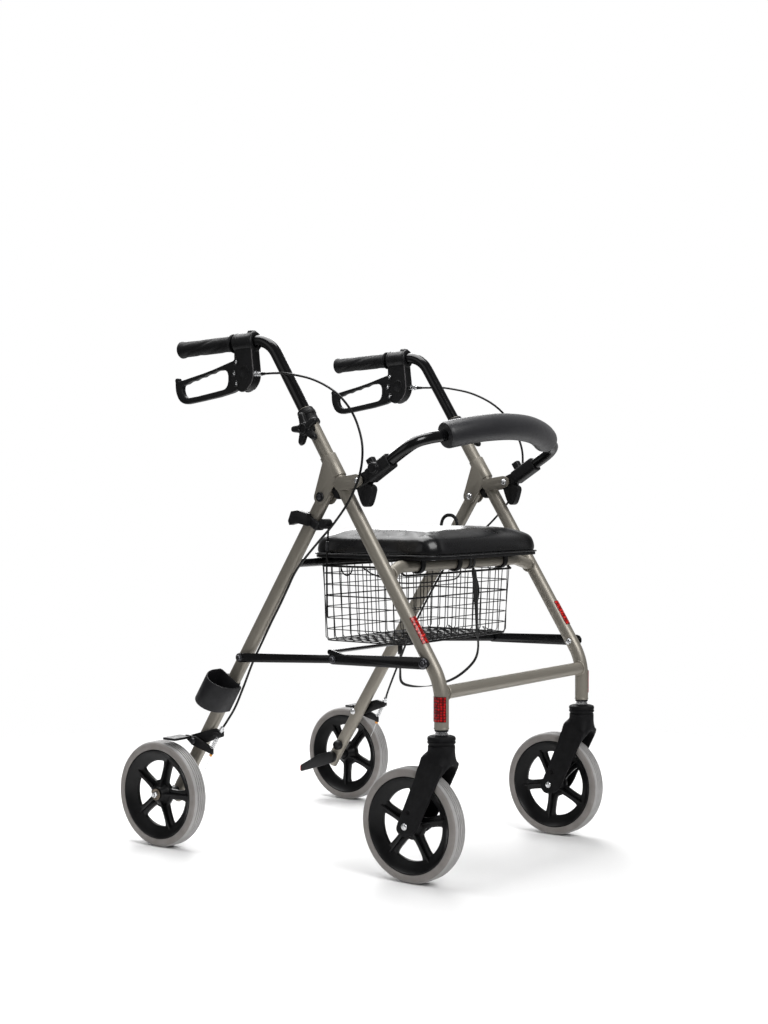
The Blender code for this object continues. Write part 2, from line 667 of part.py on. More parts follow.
def front_link_frame():
    """Both front links and the cross rod that makes them fold together."""
    pieces = []
    for sign in SIDES.values():
        low = sign * FRONT_LINK_X
        high = low + sign * LINK_T
        outline = bar_outline(LINK_FRONT, LINK_MID, 0.0105, 0.0090)
        pieces.append(plate("link", outline, low, high, PLASTIC))
        tab = bar_outline((LINK_MID[0] - 0.030, LINK_MID[1] + 0.004), ROD_PLACE, 0.0050, 0.0050, 4)
        pieces.append(plate("tab", tab, low, high, PLASTIC))
        pieces.append(cylinder("boss", (sign * (FRONT_X + LEG_R + GAP), *LINK_FRONT),
                               (low + sign * 0.001, *LINK_FRONT), 0.0070, PLASTIC, 12))
    rod = cylinder("front_link_frame", (-FRONT_LINK_X - 0.001, *ROD_PLACE), (FRONT_LINK_X + 0.001, *ROD_PLACE),
                   ROD_R, PLASTIC, 12)
    fuse(rod, pieces, PLASTIC)


def rear_link(side, sign):
    low = sign * REAR_LINK_X
    high = low + sign * LINK_T
    bar = plate("rear_link_" + side, bar_outline(LINK_MID, LINK_REAR, 0.0072, 0.0085), low, high, PLASTIC)
    boss = cylinder("boss", (sign * (REAR_LEG_X + 0.009 + GAP), *LINK_REAR),
                    (low + sign * 0.001, *LINK_REAR), 0.0065, PLASTIC, 12)
    fuse(bar, [boss], PLASTIC)


# ---------------------------------------------------------------- seat and basket
SEAT_HALF = 0.190
SEAT_FRONT = STEM_Y + 0.056
SEAT_REAR = STEM_Y + 0.336


def rounded_slab(name, half_x, y_low, y_high, z_low, z_high, corner, mat, crown=0.0, inset=0.0):
    """Slab with round corners; inset cuts its long edges and crown raises the
    middle of its top."""
    bm = bmesh.new()
    centre = (y_low + y_high) / 2
    half_y = (y_high - y_low) / 2

    def ring(shrink, z):
        loop = []
        for quadrant, (sx, sy) in enumerate(((1, 1), (-1, 1), (-1, -1), (1, -1))):
            spot = (sx * (half_x - corner), centre + sy * (half_y - corner))
            loop += arc(spot, corner - shrink, quadrant * 90, quadrant * 90 + 90, 4)
        return [bm.verts.new((px, py, z)) for px, py in loop]

    rings = [ring(0.0, z_low + inset), ring(0.0, z_high - inset)]
    if inset:
        rings = [ring(inset, z_low), *rings, ring(inset, z_high)]
    count = len(rings[0])
    for lower, upper in zip(rings, rings[1:]):
        for index in range(count):
            following = (index + 1) % count
            bm.faces.new((lower[index], lower[following], upper[following], upper[index]))
    bm.faces.new(list(reversed(rings[0])))
    if crown:
        inner = [bm.verts.new((v.co.x * 0.62, centre + (v.co.y - centre) * 0.62, z_high + crown))
                 for v in rings[-1]]
        for index in range(count):
            following = (index + 1) % count
            bm.faces.new((rings[-1][index], rings[-1][following], inner[following], inner[index]))
        bm.faces.new(inner)
    else:
        bm.faces.new(rings[-1])
    bmesh.ops.recalc_face_normals(bm, faces=bm.faces)
    return add_object(name, mesh_from_bmesh(name, bm), mat)


def seat():
    rounded_slab("seat_cushion", SEAT_HALF, SEAT_FRONT, SEAT_REAR, 0.5600, 0.5830, 0.030, VINYL, 0.029, 0.006)
    board = rounded_slab("seat_board", SEAT_HALF - 0.003, SEAT_FRONT + 0.003, SEAT_REAR - 0.003,
                         0.5548, 0.5597, 0.028, PLASTIC)
    clips = []
    for x in (-0.140, -0.020, 0.140):
        ring = [(SEAT_PIVOT[0] - 0.0150, 0.5560)]
        ring += arc(SEAT_PIVOT, 0.0150, 180, 360, 8)
        ring += [(SEAT_PIVOT[0] + 0.0150, 0.5560)]
        ring += [(SEAT_PIVOT[0] + 0.0115, 0.5560)]
        ring += arc(SEAT_PIVOT, 0.0115, 360, 180, 8)
        ring += [(SEAT_PIVOT[0] - 0.0115, 0.5560)]
        clips.append(plate("clip", ring, x - 0.006, x + 0.006, PLASTIC))
    fuse(board, clips, PLASTIC)


def basket():
    """Open-topped basket hung below the seat."""
    low = Vector((-0.181, STEM_Y + 0.119, 0.3980))
    high = Vector((0.181, STEM_Y + 0.3185, 0.5405))
    wall = 0.003
    outer = box("basket", low, high, WIRE)
    inner = box("hollow", (low.x + wall, low.y + wall, low.z + wall), (high.x - wall, high.y - wall, 0.60), WIRE)
    notch = cylinder("notch", (-0.20, SEAT_PIVOT[0], SEAT_PIVOT[1]), (0.20, SEAT_PIVOT[0], SEAT_PIVOT[1]),
                     0.0158, WIRE, 24)
    outer = cut(outer, [inner], WIRE)
    cut(outer, [notch], WIRE)


# ---------------------------------------------------------------- backrest
BACK_R = 0.4521
BACK_FRONT = (STEM_Y + 0.0071, 0.7947)
BACK_FALL = 0.5708
PAD_HALF = 0.172


def back_arc(x):
    """Axis of the curved backrest bar at x."""
    y = BACK_FRONT[0] + BACK_R - sqrt(BACK_R ** 2 - x * x)
    return (x, y, BACK_FRONT[1] - BACK_FALL * (y - BACK_FRONT[0]))


def backrest():
    arm = [(0.2440, *at(0.1480, 0.7049)), (0.2440, *at(0.119, 0.7233)), (0.2438, *at(0.0787, 0.7487)),
           (0.2340, *at(0.0600, 0.7625)), (0.2080, *at(0.0490, 0.7700))]
    steps = 9
    curve = [back_arc(PAD_HALF * (1 - 2 * step / (steps - 1))) for step in range(steps)]
    mirrored = [(-x, y, z) for x, y, z in reversed(arm)]
    path = spline_path(arm + curve + mirrored, 37)
    tube("backrest_tube", path, 0.0105, BLACK_TUBE, 3)
    bar = [back_arc(PAD_HALF * (1 - 2 * step / 8)) for step in range(9)]
    pad = tube("backrest_pad", bar, 0.0245, FOAM, 6)
    longer = [Vector(p) for p in bar]
    longer[0] = longer[0] + (longer[0] - longer[1])
    longer[-1] = longer[-1] + (longer[-1] - longer[-2])
    cut(pad, [tube("core", longer, 0.0122, FOAM, 2)], FOAM)


def backrest_bracket(side, sign):
    """Hinged holder of the backrest bar, with its stop and its clamp knob."""
    x = sign * FRONT_X
    outer_r = 0.0145
    tip = Vector(p3(x, at(0.1060, 0.7315)))
    root = Vector(p3(x, at(0.1500, 0.7037)))
    sleeve = cylinder("backrest_bracket_" + side, root, tip, outer_r, PLASTIC, 16)
    lug = plate("lug", bar_outline(BACKREST_PIVOT, (root.y, root.z), 0.0110, 0.0110),
                x - 0.0110, x + 0.0110, PLASTIC)
    stop = plate("stop", [at(0.1790, 0.6900), at(0.1740, 0.6750), at(0.1640, 0.6500), at(0.1510, 0.6490),
                          at(0.1400, 0.6900)], x - 0.0090, x + 0.0090, PLASTIC)
    knob = cylinder("knob", p3(x, at(0.1380, 0.7120)), p3(x, at(0.1520, 0.7350)), 0.0080, PLASTIC, 12)
    face = cylinder("face", p3(x, at(0.1340, 0.7180)), p3(x + sign * 0.0200, at(0.1340, 0.7180)),
                    0.0095, PLASTIC, 12)
    body = fuse(sleeve, [lug, stop, knob, face], PLASTIC)
    hole = cylinder("hole", (x - 0.03, *BACKREST_PIVOT), (x + 0.03, *BACKREST_PIVOT), 0.0029, PLASTIC, 12)
    bore = spline_path([(x, *at(0.1483, 0.7047)), (x, *at(0.119, 0.7233)), (sign * 0.2438, *at(0.0787, 0.7487)),
                        (sign * 0.2340, *at(0.0600, 0.7625))], 7)
    cut(body, [hole, tube("bore", bore, 0.0112, PLASTIC, 3)], PLASTIC)


# ---------------------------------------------------------------- handles
HOUSING_HALF = 0.0115       # half of the housing's thickness
LEVER_OUT = 0.0056
LEVER_IN = 0.0061
LEVER_PLAY = 0.0004        # clearance on each side of the lever's plate
CABLE_X = 0.2500           # brake cable's distance from the middle where it leaves the housing


def grip_axis(y):
    """Point of the grip's axis at a distance y behind the caster stems."""
    corner_y = (HANDLE_Z - BEND_Z) * SLOPE
    return at(y, HANDLE_Z - GRIP_DROP * (y - corner_y))


def handle_path(sign):
    x = sign * FRONT_X
    corners = [p3(x, on_slope(0.655)), p3(x, on_slope(HANDLE_Z)), p3(x, grip_axis(0.5960))]
    return rounded_path(corners, 0.055, 6)


def handle_tube(side, sign):
    tube("handle_tube_" + side, handle_path(sign), HANDLE_R, BLACK_TUBE, 5)


def grip(side, sign):
    x = sign * FRONT_X
    start = Vector(p3(x, grip_axis(0.4680)))
    end = Vector(p3(x, grip_axis(0.6030)))
    length = (end - start).length
    bore = HANDLE_R + GAP
    profile = [(bore, 0.0), (0.0180, 0.0), (0.0180, 0.004), (0.0150, 0.007), (0.0148, 0.110),
               (0.0165, length - 0.010), (0.0160, length), (0.0050, length), (0.0050, length - 0.005),
               (bore, length - 0.0060)]
    turned("grip_" + side, list(reversed(profile)), start, (end - start).normalized(), PLASTIC, 20)


def brake_housing(side, sign):
    """Clamp round the handle tube with the lever's pivot boss below it."""
    x = sign * FRONT_X
    outline = [at(0.4640, 0.9700), at(0.4340, 0.9745), at(0.4200, 0.9740), at(0.4150, 0.9680),
               at(0.4170, 0.9460), at(0.4150, 0.9180), at(0.4130, 0.8980), at(0.4145, 0.8850),
               at(0.4200, 0.8740), at(0.4290, 0.8650), at(0.4390, 0.8610), at(0.4480, 0.8615),
               at(0.4600, 0.8700), at(0.4680, 0.8830), at(0.4690, 0.8960), at(0.4610, 0.9120),
               at(0.4630, 0.9400)]
    body = plate("brake_housing_" + side, outline, x - HOUSING_HALF, x + HOUSING_HALF, PLASTIC)
    saddle = cylinder("saddle", p3(x, grip_axis(0.4145)), p3(x, grip_axis(0.4635)), 0.0172, PLASTIC, 20)
    body = fuse(body, [saddle], PLASTIC)
    bore = tube("bore", handle_path(sign), HANDLE_R + GAP, PLASTIC, 5)
    slot = [at(0.4800, 0.9330), at(0.4400, 0.9330), at(0.4250, 0.9200), at(0.4180, 0.9040), at(0.4175, 0.8900),
            at(0.4240, 0.8760), at(0.4330, 0.8680), at(0.4400, 0.8540), at(0.4800, 0.8540)]
    lever_gap = plate("gap", slot, x + sign * (LEVER_OUT + LEVER_PLAY), x - sign * (LEVER_IN + LEVER_PLAY), PLASTIC)
    body = cut(body, [bore, lever_gap], PLASTIC)
    adjuster = cylinder("adjuster", p3(sign * CABLE_X, at(0.4160, 0.8950)), p3(sign * CABLE_X, at(0.3960, 0.8936)),
                        0.0048, STEEL, 12)
    fuse(body, [adjuster], PLASTIC)


def brake_lever(side, sign):
    """Closed loop lever; its plate turns in the housing's gap."""
    x = sign * FRONT_X
    outer = [at(0.6165, 0.8890), at(0.6120, 0.8945), at(0.5990, 0.8895), at(0.5300, 0.9040), at(0.4880, 0.9160),
             at(0.4600, 0.9240), at(0.4440, 0.9190), at(0.4280, 0.9080), at(0.4240, 0.8980),
             at(0.4270, 0.8880), at(0.4440, 0.8720), at(0.4800, 0.8580), at(0.5810, 0.8440),
             at(0.5950, 0.8450), at(0.6080, 0.8540), at(0.6150, 0.8690)]
    inner = [at(0.5980, 0.8800), at(0.5300, 0.8950), at(0.4900, 0.9060), at(0.4800, 0.8960), at(0.4820, 0.8760),
             at(0.4920, 0.8680), at(0.5780, 0.8550), at(0.5920, 0.8570)]
    loop = plate("brake_lever_" + side, outer, x + sign * LEVER_OUT, x - sign * LEVER_IN, PLASTIC, [inner])
    hole = cylinder("hole", (x - 0.03, *LEVER_PIVOT), (x + 0.03, *LEVER_PIVOT), 0.0030, PLASTIC, 12)
    cut(loop, [hole], PLASTIC)


# ---------------------------------------------------------------- cables and strap
def brake_cable(side, sign):
    """Outer cable from the lever's adjuster, round the leg, to the brake."""
    route = [(CABLE_X, 0.3948, 0.8936), (0.2560, 0.3770, 0.8933), (0.2592, 0.3560, 0.8928), (0.2602, 0.3257, 0.8905),
             (0.2610, 0.2675, 0.8776), (0.2625, 0.2160, 0.8535),
             (0.2645, 0.1800, 0.8210), (0.2670, 0.1590, 0.7850), (0.2690, 0.1500, 0.7480),
             (0.2700, 0.1560, 0.7050), (0.2690, 0.1800, 0.6600), (0.2660, 0.2177, 0.6180),
             (0.2620, 0.2560, 0.5845), (0.2560, 0.2913, 0.5544), (0.2500, 0.3180, 0.5290),
             (0.2470, 0.3385, 0.4985), (0.2460, 0.3560, 0.4700), (0.2460, 0.3780, 0.4350),
             (0.2465, 0.4000, 0.3970), (0.2475, 0.4210, 0.3600), (0.2485, 0.4430, 0.3130),
             (0.2500, 0.4630, 0.2720), (0.2560, 0.4790, 0.2440), (0.2600, 0.4850, 0.2330)]
    points = [(sign * x, STEM_Y + y, z) for x, y, z in route]
    tube("brake_cable_" + side, spline_path(points, 52), 0.0022, CABLE, 2)


def fold_strap():
    """Webbing pull from the seat's cross tube to the folding rod."""
    route = [(0.0300, 0.1060, 0.5300), (0.0290, 0.1035, 0.5000), (0.0270, 0.1020, 0.4600),
             (0.0290, 0.1020, 0.4200), (0.0400, 0.1080, 0.3850), (0.0470, 0.1190, 0.3600),
             (0.0400, 0.1330, 0.3400), (0.0240, 0.1500, 0.3230), (0.0040, 0.1680, 0.3130),
             (-0.0180, 0.1880, 0.3080), (-0.0370, 0.2100, 0.3090), (-0.0480, 0.2240, 0.3170),
             (-0.0500, 0.2256, 0.3400), (-0.0500, 0.2256, 0.3650), (-0.0500, 0.2256, 0.3855)]
    points = [(x, STEM_Y + y, z) for x, y, z in route]
    tube("fold_strap", spline_path(points, 36), 0.0014, CABLE, 2)


# ---------------------------------------------------------------- assembly
def build():
    for side, sign in SIDES.items():
        front_leg(side, sign)
        leg_bracket(side, sign)
        pivot_bolt(side, sign)
        height_collar(side, sign)
        star_knob(side, sign)
        rear_leg(side, sign)
        curb_lever(side, sign)
        brake_bracket(side, sign)
        brake_arm(side, sign)
        rear_axle(side, sign)
        wheel("rear_" + side, (sign * REAR_X, *REAR_AXLE), REAR_HUB_HALF)
        wheel("front_" + side, (sign * FRONT_X, *at(TRAIL, WHEEL_R)), FRONT_HUB_HALF)
        fork(side, sign)
        front_axle(side, sign)
        caster_stem(side, sign)
        rear_link(side, sign)
        backrest_bracket(side, sign)
        handle_tube(side, sign)
        grip(side, sign)
        brake_housing(side, sign)
        brake_lever(side, sign)
        brake_cable(side, sign)
    cross_tubes()
    rear_rail()
    cane_cup()
    cane_clip()
    front_link_frame()
    seat()
    basket()
    backrest()
    fold_strap()


build()
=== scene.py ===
"""Looks of the folding rollator walker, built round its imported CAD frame."""

import random
from math import asin, atan2, cos, pi, radians, sin, sqrt, tan

import bmesh
import bpy
from mathutils import Matrix, Vector, noise


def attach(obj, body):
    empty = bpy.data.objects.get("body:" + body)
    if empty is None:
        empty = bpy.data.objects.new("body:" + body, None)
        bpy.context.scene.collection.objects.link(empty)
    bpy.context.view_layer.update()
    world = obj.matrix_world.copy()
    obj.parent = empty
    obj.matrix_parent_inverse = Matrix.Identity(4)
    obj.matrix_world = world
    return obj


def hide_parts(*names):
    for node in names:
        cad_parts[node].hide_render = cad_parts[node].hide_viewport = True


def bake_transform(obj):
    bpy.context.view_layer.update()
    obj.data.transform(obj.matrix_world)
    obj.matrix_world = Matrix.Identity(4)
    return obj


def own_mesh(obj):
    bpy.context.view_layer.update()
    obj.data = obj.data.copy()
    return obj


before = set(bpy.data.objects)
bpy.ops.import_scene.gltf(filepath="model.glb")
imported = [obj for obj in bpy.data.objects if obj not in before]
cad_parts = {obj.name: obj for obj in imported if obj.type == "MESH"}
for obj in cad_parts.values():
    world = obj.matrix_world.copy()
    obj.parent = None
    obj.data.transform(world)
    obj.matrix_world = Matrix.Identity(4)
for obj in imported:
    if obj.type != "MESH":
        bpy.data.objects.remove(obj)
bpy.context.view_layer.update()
random.seed(7)

# ---------------------------------------------------------------- sizes, the same as the CAD's
STEM_Y = -0.335
FRONT_X = 0.244
REAR_X = 0.292
REAR_LEG_X = 0.245
TRAIL = 0.059
AXLE_REACH = 0.611
WHEEL_R = 0.100
WHEEL_W = 0.034
RIM_R = 0.085
LEG_R = 0.0127
SLOPE = 0.6295
BEND_Z = 0.3476
HANDLE_R = 0.0110
HANDLE_Z = 0.957
GRIP_DROP = 0.040
SIDES = {"right": -1.0, "left": 1.0}


def at(y, z):
    return (STEM_Y + y, z)


def on_slope(z):
    return at((z - BEND_Z) * SLOPE, z)


def p3(x, point):
    return (x, point[0], point[1])


def along(start, end, distance):
    dy, dz = end[0] - start[0], end[1] - start[1]
    length = sqrt(dy * dy + dz * dz)
    return (start[0] + dy * distance / length, start[1] + dz * distance / length)


def grip_axis(y):
    return at(y, HANDLE_Z - GRIP_DROP * (y - (HANDLE_Z - BEND_Z) * SLOPE))


FOLD_PIVOT = at(0.2525, 0.667)
REAR_AXLE = at(AXLE_REACH, WHEEL_R)
LINK_FRONT = at(0.0225, 0.3834)
LINK_MID = at(0.2196, 0.3782)
LINK_REAR = at(0.4425, 0.3672)
SEAT_PIVOT = at(0.123, 0.543)
BACKREST_PIVOT = at(0.170, 0.6955)
LEVER_PIVOT = at(0.4350, 0.8980)
BRAKE_PIVOT = at(0.5560, 0.2020)
KNOB_CENTRE = on_slope(0.789)
SPOKE_TURN = {"front_right": 23.0, "rear_right": 34.0, "front_left": -9.0, "rear_left": -15.0}


# ---------------------------------------------------------------- materials
def shader_of(name):
    mat = bpy.data.materials.new(name)
    mat.use_nodes = True
    return mat, mat.node_tree, mat.node_tree.nodes["Principled BSDF"]


def object_noise(tree, scale, detail=3.0, roughness=0.55, stretch=(1, 1, 1)):
    coords = tree.nodes.new("ShaderNodeTexCoord")
    mapping = tree.nodes.new("ShaderNodeMapping")
    mapping.inputs["Scale"].default_value = stretch
    texture = tree.nodes.new("ShaderNodeTexNoise")
    texture.inputs["Scale"].default_value = scale
    texture.inputs["Detail"].default_value = detail
    texture.inputs["Roughness"].default_value = roughness
    tree.links.new(coords.outputs["Object"], mapping.inputs["Vector"])
    tree.links.new(mapping.outputs["Vector"], texture.inputs["Vector"])
    return texture.outputs["Fac"]


def ramp(tree, source, low, high, from_low=0.3, from_high=0.7):
    node = tree.nodes.new("ShaderNodeMapRange")
    node.inputs["From Min"].default_value = from_low
    node.inputs["From Max"].default_value = from_high
    node.inputs["To Min"].default_value = low
    node.inputs["To Max"].default_value = high
    tree.links.new(source, node.inputs["Value"])
    return node.outputs["Result"]


def blend_colours(tree, factor, first, second):
    node = tree.nodes.new("ShaderNodeMix")
    node.data_type = "RGBA"
    node.inputs[6].default_value = (*first, 1.0)
    node.inputs[7].default_value = (*second, 1.0)
    tree.links.new(factor, node.inputs["Factor"])
    return node.outputs[2]


def add_bump(tree, shader, height, strength, distance, after=None):
    bump = tree.nodes.new("ShaderNodeBump")
    bump.inputs["Strength"].default_value = strength
    bump.inputs["Distance"].default_value = distance
    tree.links.new(height, bump.inputs["Height"])
    if after is not None:
        tree.links.new(after, bump.inputs["Normal"])
    tree.links.new(bump.outputs["Normal"], shader.inputs["Normal"])
    return bump.outputs["Normal"]


def surface(name, dark, light, rough, grain, metallic=0.0, coat=0.0, coat_rough=0.1, cloud=40.0,
            specular=0.5, sheen=0.0):
    """Moulded or painted surface: clouded colour and gloss with a fine grain.
    rough is (lowest, highest) and grain is (scale, strength, height)."""
    mat, tree, shader = shader_of(name)
    clouds = object_noise(tree, cloud, 4.0)
    factor = ramp(tree, clouds, 0.0, 1.0)
    tree.links.new(blend_colours(tree, factor, dark, light), shader.inputs["Base Color"])
    tree.links.new(ramp(tree, object_noise(tree, cloud * 2.3, 5.0), *rough), shader.inputs["Roughness"])
    shader.inputs["Metallic"].default_value = metallic
    shader.inputs["Coat Weight"].default_value = coat
    shader.inputs["Coat Roughness"].default_value = coat_rough
    shader.inputs["Specular IOR Level"].default_value = specular
    shader.inputs["Sheen Weight"].default_value = sheen
    add_bump(tree, shader, object_noise(tree, grain[0], 3.0), grain[1], grain[2])
    return mat


def champagne():
    """Satin metallic paint with a fine flake and a little orange peel."""
    mat, tree, shader = shader_of("champagne_paint")
    flake = ramp(tree, object_noise(tree, 2600.0, 1.0), 0.0, 1.0, 0.35, 0.65)
    tone = blend_colours(tree, flake, (0.262, 0.240, 0.202), (0.325, 0.300, 0.256))
    tree.links.new(tone, shader.inputs["Base Color"])
    tree.links.new(ramp(tree, object_noise(tree, 22.0, 4.0), 0.42, 0.50), shader.inputs["Roughness"])
    shader.inputs["Metallic"].default_value = 0.50
    shader.inputs["Coat Weight"].default_value = 0.12
    shader.inputs["Coat Roughness"].default_value = 0.22
    add_bump(tree, shader, object_noise(tree, 420.0, 2.0), 0.02, 0.0001)
    return mat


def vinyl():
    """Glossy black vinyl with a pebbled grain and soft creases."""
    mat, tree, shader = shader_of("seat_vinyl")
    coords = tree.nodes.new("ShaderNodeTexCoord")
    cells = tree.nodes.new("ShaderNodeTexVoronoi")
    cells.inputs["Scale"].default_value = 950.0
    tree.links.new(coords.outputs["Object"], cells.inputs["Vector"])
    factor = ramp(tree, object_noise(tree, 18.0), 0.0, 1.0)
    tree.links.new(blend_colours(tree, factor, (0.0020, 0.0020, 0.0025), (0.0045, 0.0045, 0.0055)),
                   shader.inputs["Base Color"])
    tree.links.new(ramp(tree, object_noise(tree, 45.0, 5.0), 0.24, 0.34), shader.inputs["Roughness"])
    shader.inputs["Specular IOR Level"].default_value = 0.40
    shader.inputs["Coat Weight"].default_value = 0.10
    shader.inputs["Coat Roughness"].default_value = 0.14
    creases = add_bump(tree, shader, object_noise(tree, 26.0, 5.0, 0.6, (1.0, 1.6, 1.0)), 0.04, 0.0006)
    add_bump(tree, shader, cells.outputs["Distance"], 0.06, 0.0002, creases)
    return mat


def tyre_rubber(name, dark, light):
    """Grey non-marking rubber, a little dusty."""
    mat, tree, shader = shader_of(name)
    factor = ramp(tree, object_noise(tree, 60.0, 6.0), 0.0, 1.0)
    tree.links.new(blend_colours(tree, factor, dark, light), shader.inputs["Base Color"])
    tree.links.new(ramp(tree, object_noise(tree, 120.0), 0.62, 0.80), shader.inputs["Roughness"])
    first = add_bump(tree, shader, object_noise(tree, 900.0, 3.0), 0.20, 0.0003)
    add_bump(tree, shader, object_noise(tree, 70.0, 2.0), 0.10, 0.0008, first)
    return mat


def webbing():
    """Black woven webbing: two crossing fine waves."""
    mat, tree, shader = shader_of("strap_webbing")
    coords = tree.nodes.new("ShaderNodeTexCoord")
    heights = []
    for direction in ("X", "Z"):
        wave = tree.nodes.new("ShaderNodeTexWave")
        wave.bands_direction = direction
        wave.inputs["Scale"].default_value = 260.0
        wave.inputs["Distortion"].default_value = 0.6
        tree.links.new(coords.outputs["Object"], wave.inputs["Vector"])
        heights.append(wave.outputs["Fac"])
    both = tree.nodes.new("ShaderNodeMath")
    both.operation = "MULTIPLY"
    tree.links.new(heights[0], both.inputs[0])
    tree.links.new(heights[1], both.inputs[1])
    tree.links.new(blend_colours(tree, both.outputs[0], (0.006, 0.006, 0.006), (0.022, 0.022, 0.023)),
                   shader.inputs["Base Color"])
    shader.inputs["Roughness"].default_value = 0.78
    shader.inputs["Sheen Weight"].default_value = 0.25
    add_bump(tree, shader, both.outputs[0], 0.5, 0.0005)
    return mat


def reflector(name, dark, light, rows):
    """Red prismatic reflector sheet: small bright cells, painted glints, under a clear face."""
    mat, tree, shader = shader_of(name)
    coords = tree.nodes.new("ShaderNodeTexCoord")
    cells = tree.nodes.new("ShaderNodeTexVoronoi")
    cells.inputs["Scale"].default_value = rows
    cells.inputs["Randomness"].default_value = 0.35
    tree.links.new(coords.outputs["Object"], cells.inputs["Vector"])
    # Cell centres are painted brighter: painted glints of the prisms.
    painted_glints = ramp(tree, cells.outputs["Distance"], 1.0, 0.0, 0.22, 0.50)
    tree.links.new(blend_colours(tree, painted_glints, dark, light), shader.inputs["Base Color"])
    shader.inputs["Roughness"].default_value = 0.30
    shader.inputs["Specular IOR Level"].default_value = 0.3
    shader.inputs["Coat Weight"].default_value = 0.25
    shader.inputs["Coat Roughness"].default_value = 0.05
    add_bump(tree, shader, cells.outputs["Distance"], 0.8, 0.0010)
    return mat


def pad_foam():
    """Dark grey skinned foam with a fine pore and a soft sheen."""
    mat, tree, shader = shader_of("pad_foam")
    factor = ramp(tree, object_noise(tree, 14.0, 4.0), 0.0, 1.0)
    tree.links.new(blend_colours(tree, factor, (0.020, 0.020, 0.023), (0.029, 0.029, 0.032)),
                   shader.inputs["Base Color"])
    tree.links.new(ramp(tree, object_noise(tree, 160.0, 5.0), 0.36, 0.48), shader.inputs["Roughness"])
    shader.inputs["Specular IOR Level"].default_value = 0.40
    shader.inputs["Sheen Weight"].default_value = 0.05
    first = add_bump(tree, shader, object_noise(tree, 1100.0, 3.0), 0.16, 0.0003)
    add_bump(tree, shader, object_noise(tree, 30.0, 3.0), 0.06, 0.0015, first)
    return mat


PAINT = champagne()
VINYL = vinyl()
TYRE = tyre_rubber("tyre_rubber", (0.225, 0.208, 0.196), (0.285, 0.266, 0.254))
# The tread rubber is a lighter copy of the side wall rubber: painted light where the tread faces the lamps.
LIT_TREAD_RUBBER = tyre_rubber("tread_rubber_painted_light", (0.350, 0.342, 0.338), (0.420, 0.412, 0.408))
STRAP = webbing()
FOAM = pad_foam()
TUBE = surface("gloss_black_tube", (0.0020, 0.0020, 0.0025), (0.0040, 0.0040, 0.0045), (0.14, 0.20),
               (900.0, 0.03, 0.0001), coat=0.0, cloud=30.0, specular=0.45)
PLASTIC = surface("black_plastic", (0.0040, 0.0040, 0.0045), (0.0085, 0.0085, 0.0095), (0.34, 0.50),
                  (1300.0, 0.22, 0.0002), cloud=70.0, specular=0.30)
FORK_PLASTIC = surface("fork_plastic", (0.0045, 0.0045, 0.0050), (0.0095, 0.0095, 0.0105), (0.50, 0.64),
                       (1000.0, 0.50, 0.0003), cloud=90.0, specular=0.12)
RIM_PLASTIC = surface("rim_plastic", (0.0025, 0.0025, 0.0030), (0.0060, 0.0060, 0.0065), (0.30, 0.44),
                      (1200.0, 0.15, 0.0002), cloud=60.0, specular=0.22)
CUP_PLASTIC = surface("cup_plastic", (0.0090, 0.0090, 0.0100), (0.0160, 0.0160, 0.0180), (0.36, 0.48),
                      (1500.0, 0.16, 0.0002), cloud=50.0, specular=0.20)
# Light grey rib colour: a painted highlight along the front edge of the brake housing.
EDGE_HIGHLIGHT_RIB_PAINT = surface("housing_edge_painted_highlight", (0.060, 0.056, 0.058), (0.105, 0.098, 0.101), (0.3, 0.5),
               (900.0, 0.2, 0.0002),
               cloud=120.0)
GRIP_RUBBER = surface("grip_rubber", (0.0045, 0.0045, 0.0050), (0.0090, 0.0090, 0.0100), (0.44, 0.58),
                      (1100.0, 0.30, 0.0002), cloud=80.0, specular=0.18, sheen=0.03)
BOARD = surface("seat_board_plastic", (0.0080, 0.0080, 0.0085), (0.0150, 0.0150, 0.0160), (0.5, 0.65),
                (900.0, 0.35, 0.0003), cloud=50.0, specular=0.15)
ZINC = surface("zinc_plate", (0.60, 0.61, 0.62), (0.78, 0.78, 0.79), (0.20, 0.36), (700.0, 0.12, 0.0002),
               metallic=1.0, cloud=160.0)
DARK_STEEL = surface("dark_bolt", (0.06, 0.06, 0.065), (0.12, 0.12, 0.13), (0.26, 0.40),
                     (600.0, 0.12, 0.0002),
                     metallic=0.9, cloud=160.0)
BRONZE = surface("bronze_washer", (0.16, 0.13, 0.10), (0.24, 0.20, 0.16), (0.35, 0.5), (600.0, 0.15, 0.0002),
                 metallic=0.85, cloud=160.0)
WIRE = surface("basket_wire", (0.0030, 0.0030, 0.0030), (0.0070, 0.0070, 0.0075), (0.28, 0.42),
               (500.0, 0.20, 0.0002),
               coat=0.05, cloud=90.0, specular=0.2)
SHEATH = surface("cable_sheath", (0.0030, 0.0030, 0.0030), (0.0060, 0.0060, 0.0065), (0.26, 0.38),
                 (800.0, 0.12, 0.0002),
                 cloud=90.0, specular=0.3)
AMBER = surface("amber_tip", (0.75, 0.28, 0.02), (0.85, 0.36, 0.04), (0.3, 0.4), (800.0, 0.1, 0.0002),
                cloud=200.0)
RED_FACE = surface("red_cap", (0.50, 0.020, 0.015), (0.62, 0.035, 0.025), (0.3, 0.4), (800.0, 0.1, 0.0002),
                   cloud=200.0)
# One red sheeting in two copies: the brighter is painted light for the upper strips, the darker painted
# shade for the low sheets.
REFLECT_PAINTED_LIT = reflector("reflector_painted_lit", (0.20, 0.000, 0.000), (1.0, 0.030, 0.020), 210.0)
REFLECT_PAINTED_SHADE = reflector("reflector_painted_shade", (0.10, 0.000, 0.001), (0.62, 0.004, 0.006), 210.0)


# ---------------------------------------------------------------- mesh tools
def link(obj):
    bpy.context.scene.collection.objects.link(obj)
    return obj


def tidy(mesh, angle=38.0):
    mesh.shade_smooth()
    mesh.set_sharp_from_angle(angle=radians(angle))
    return mesh


def mesh_of(bm, name="part", angle=38.0):
    mesh = bpy.data.meshes.new(name)
    bm.normal_update()
    bm.to_mesh(mesh)
    bm.free()
    return tidy(mesh, angle)


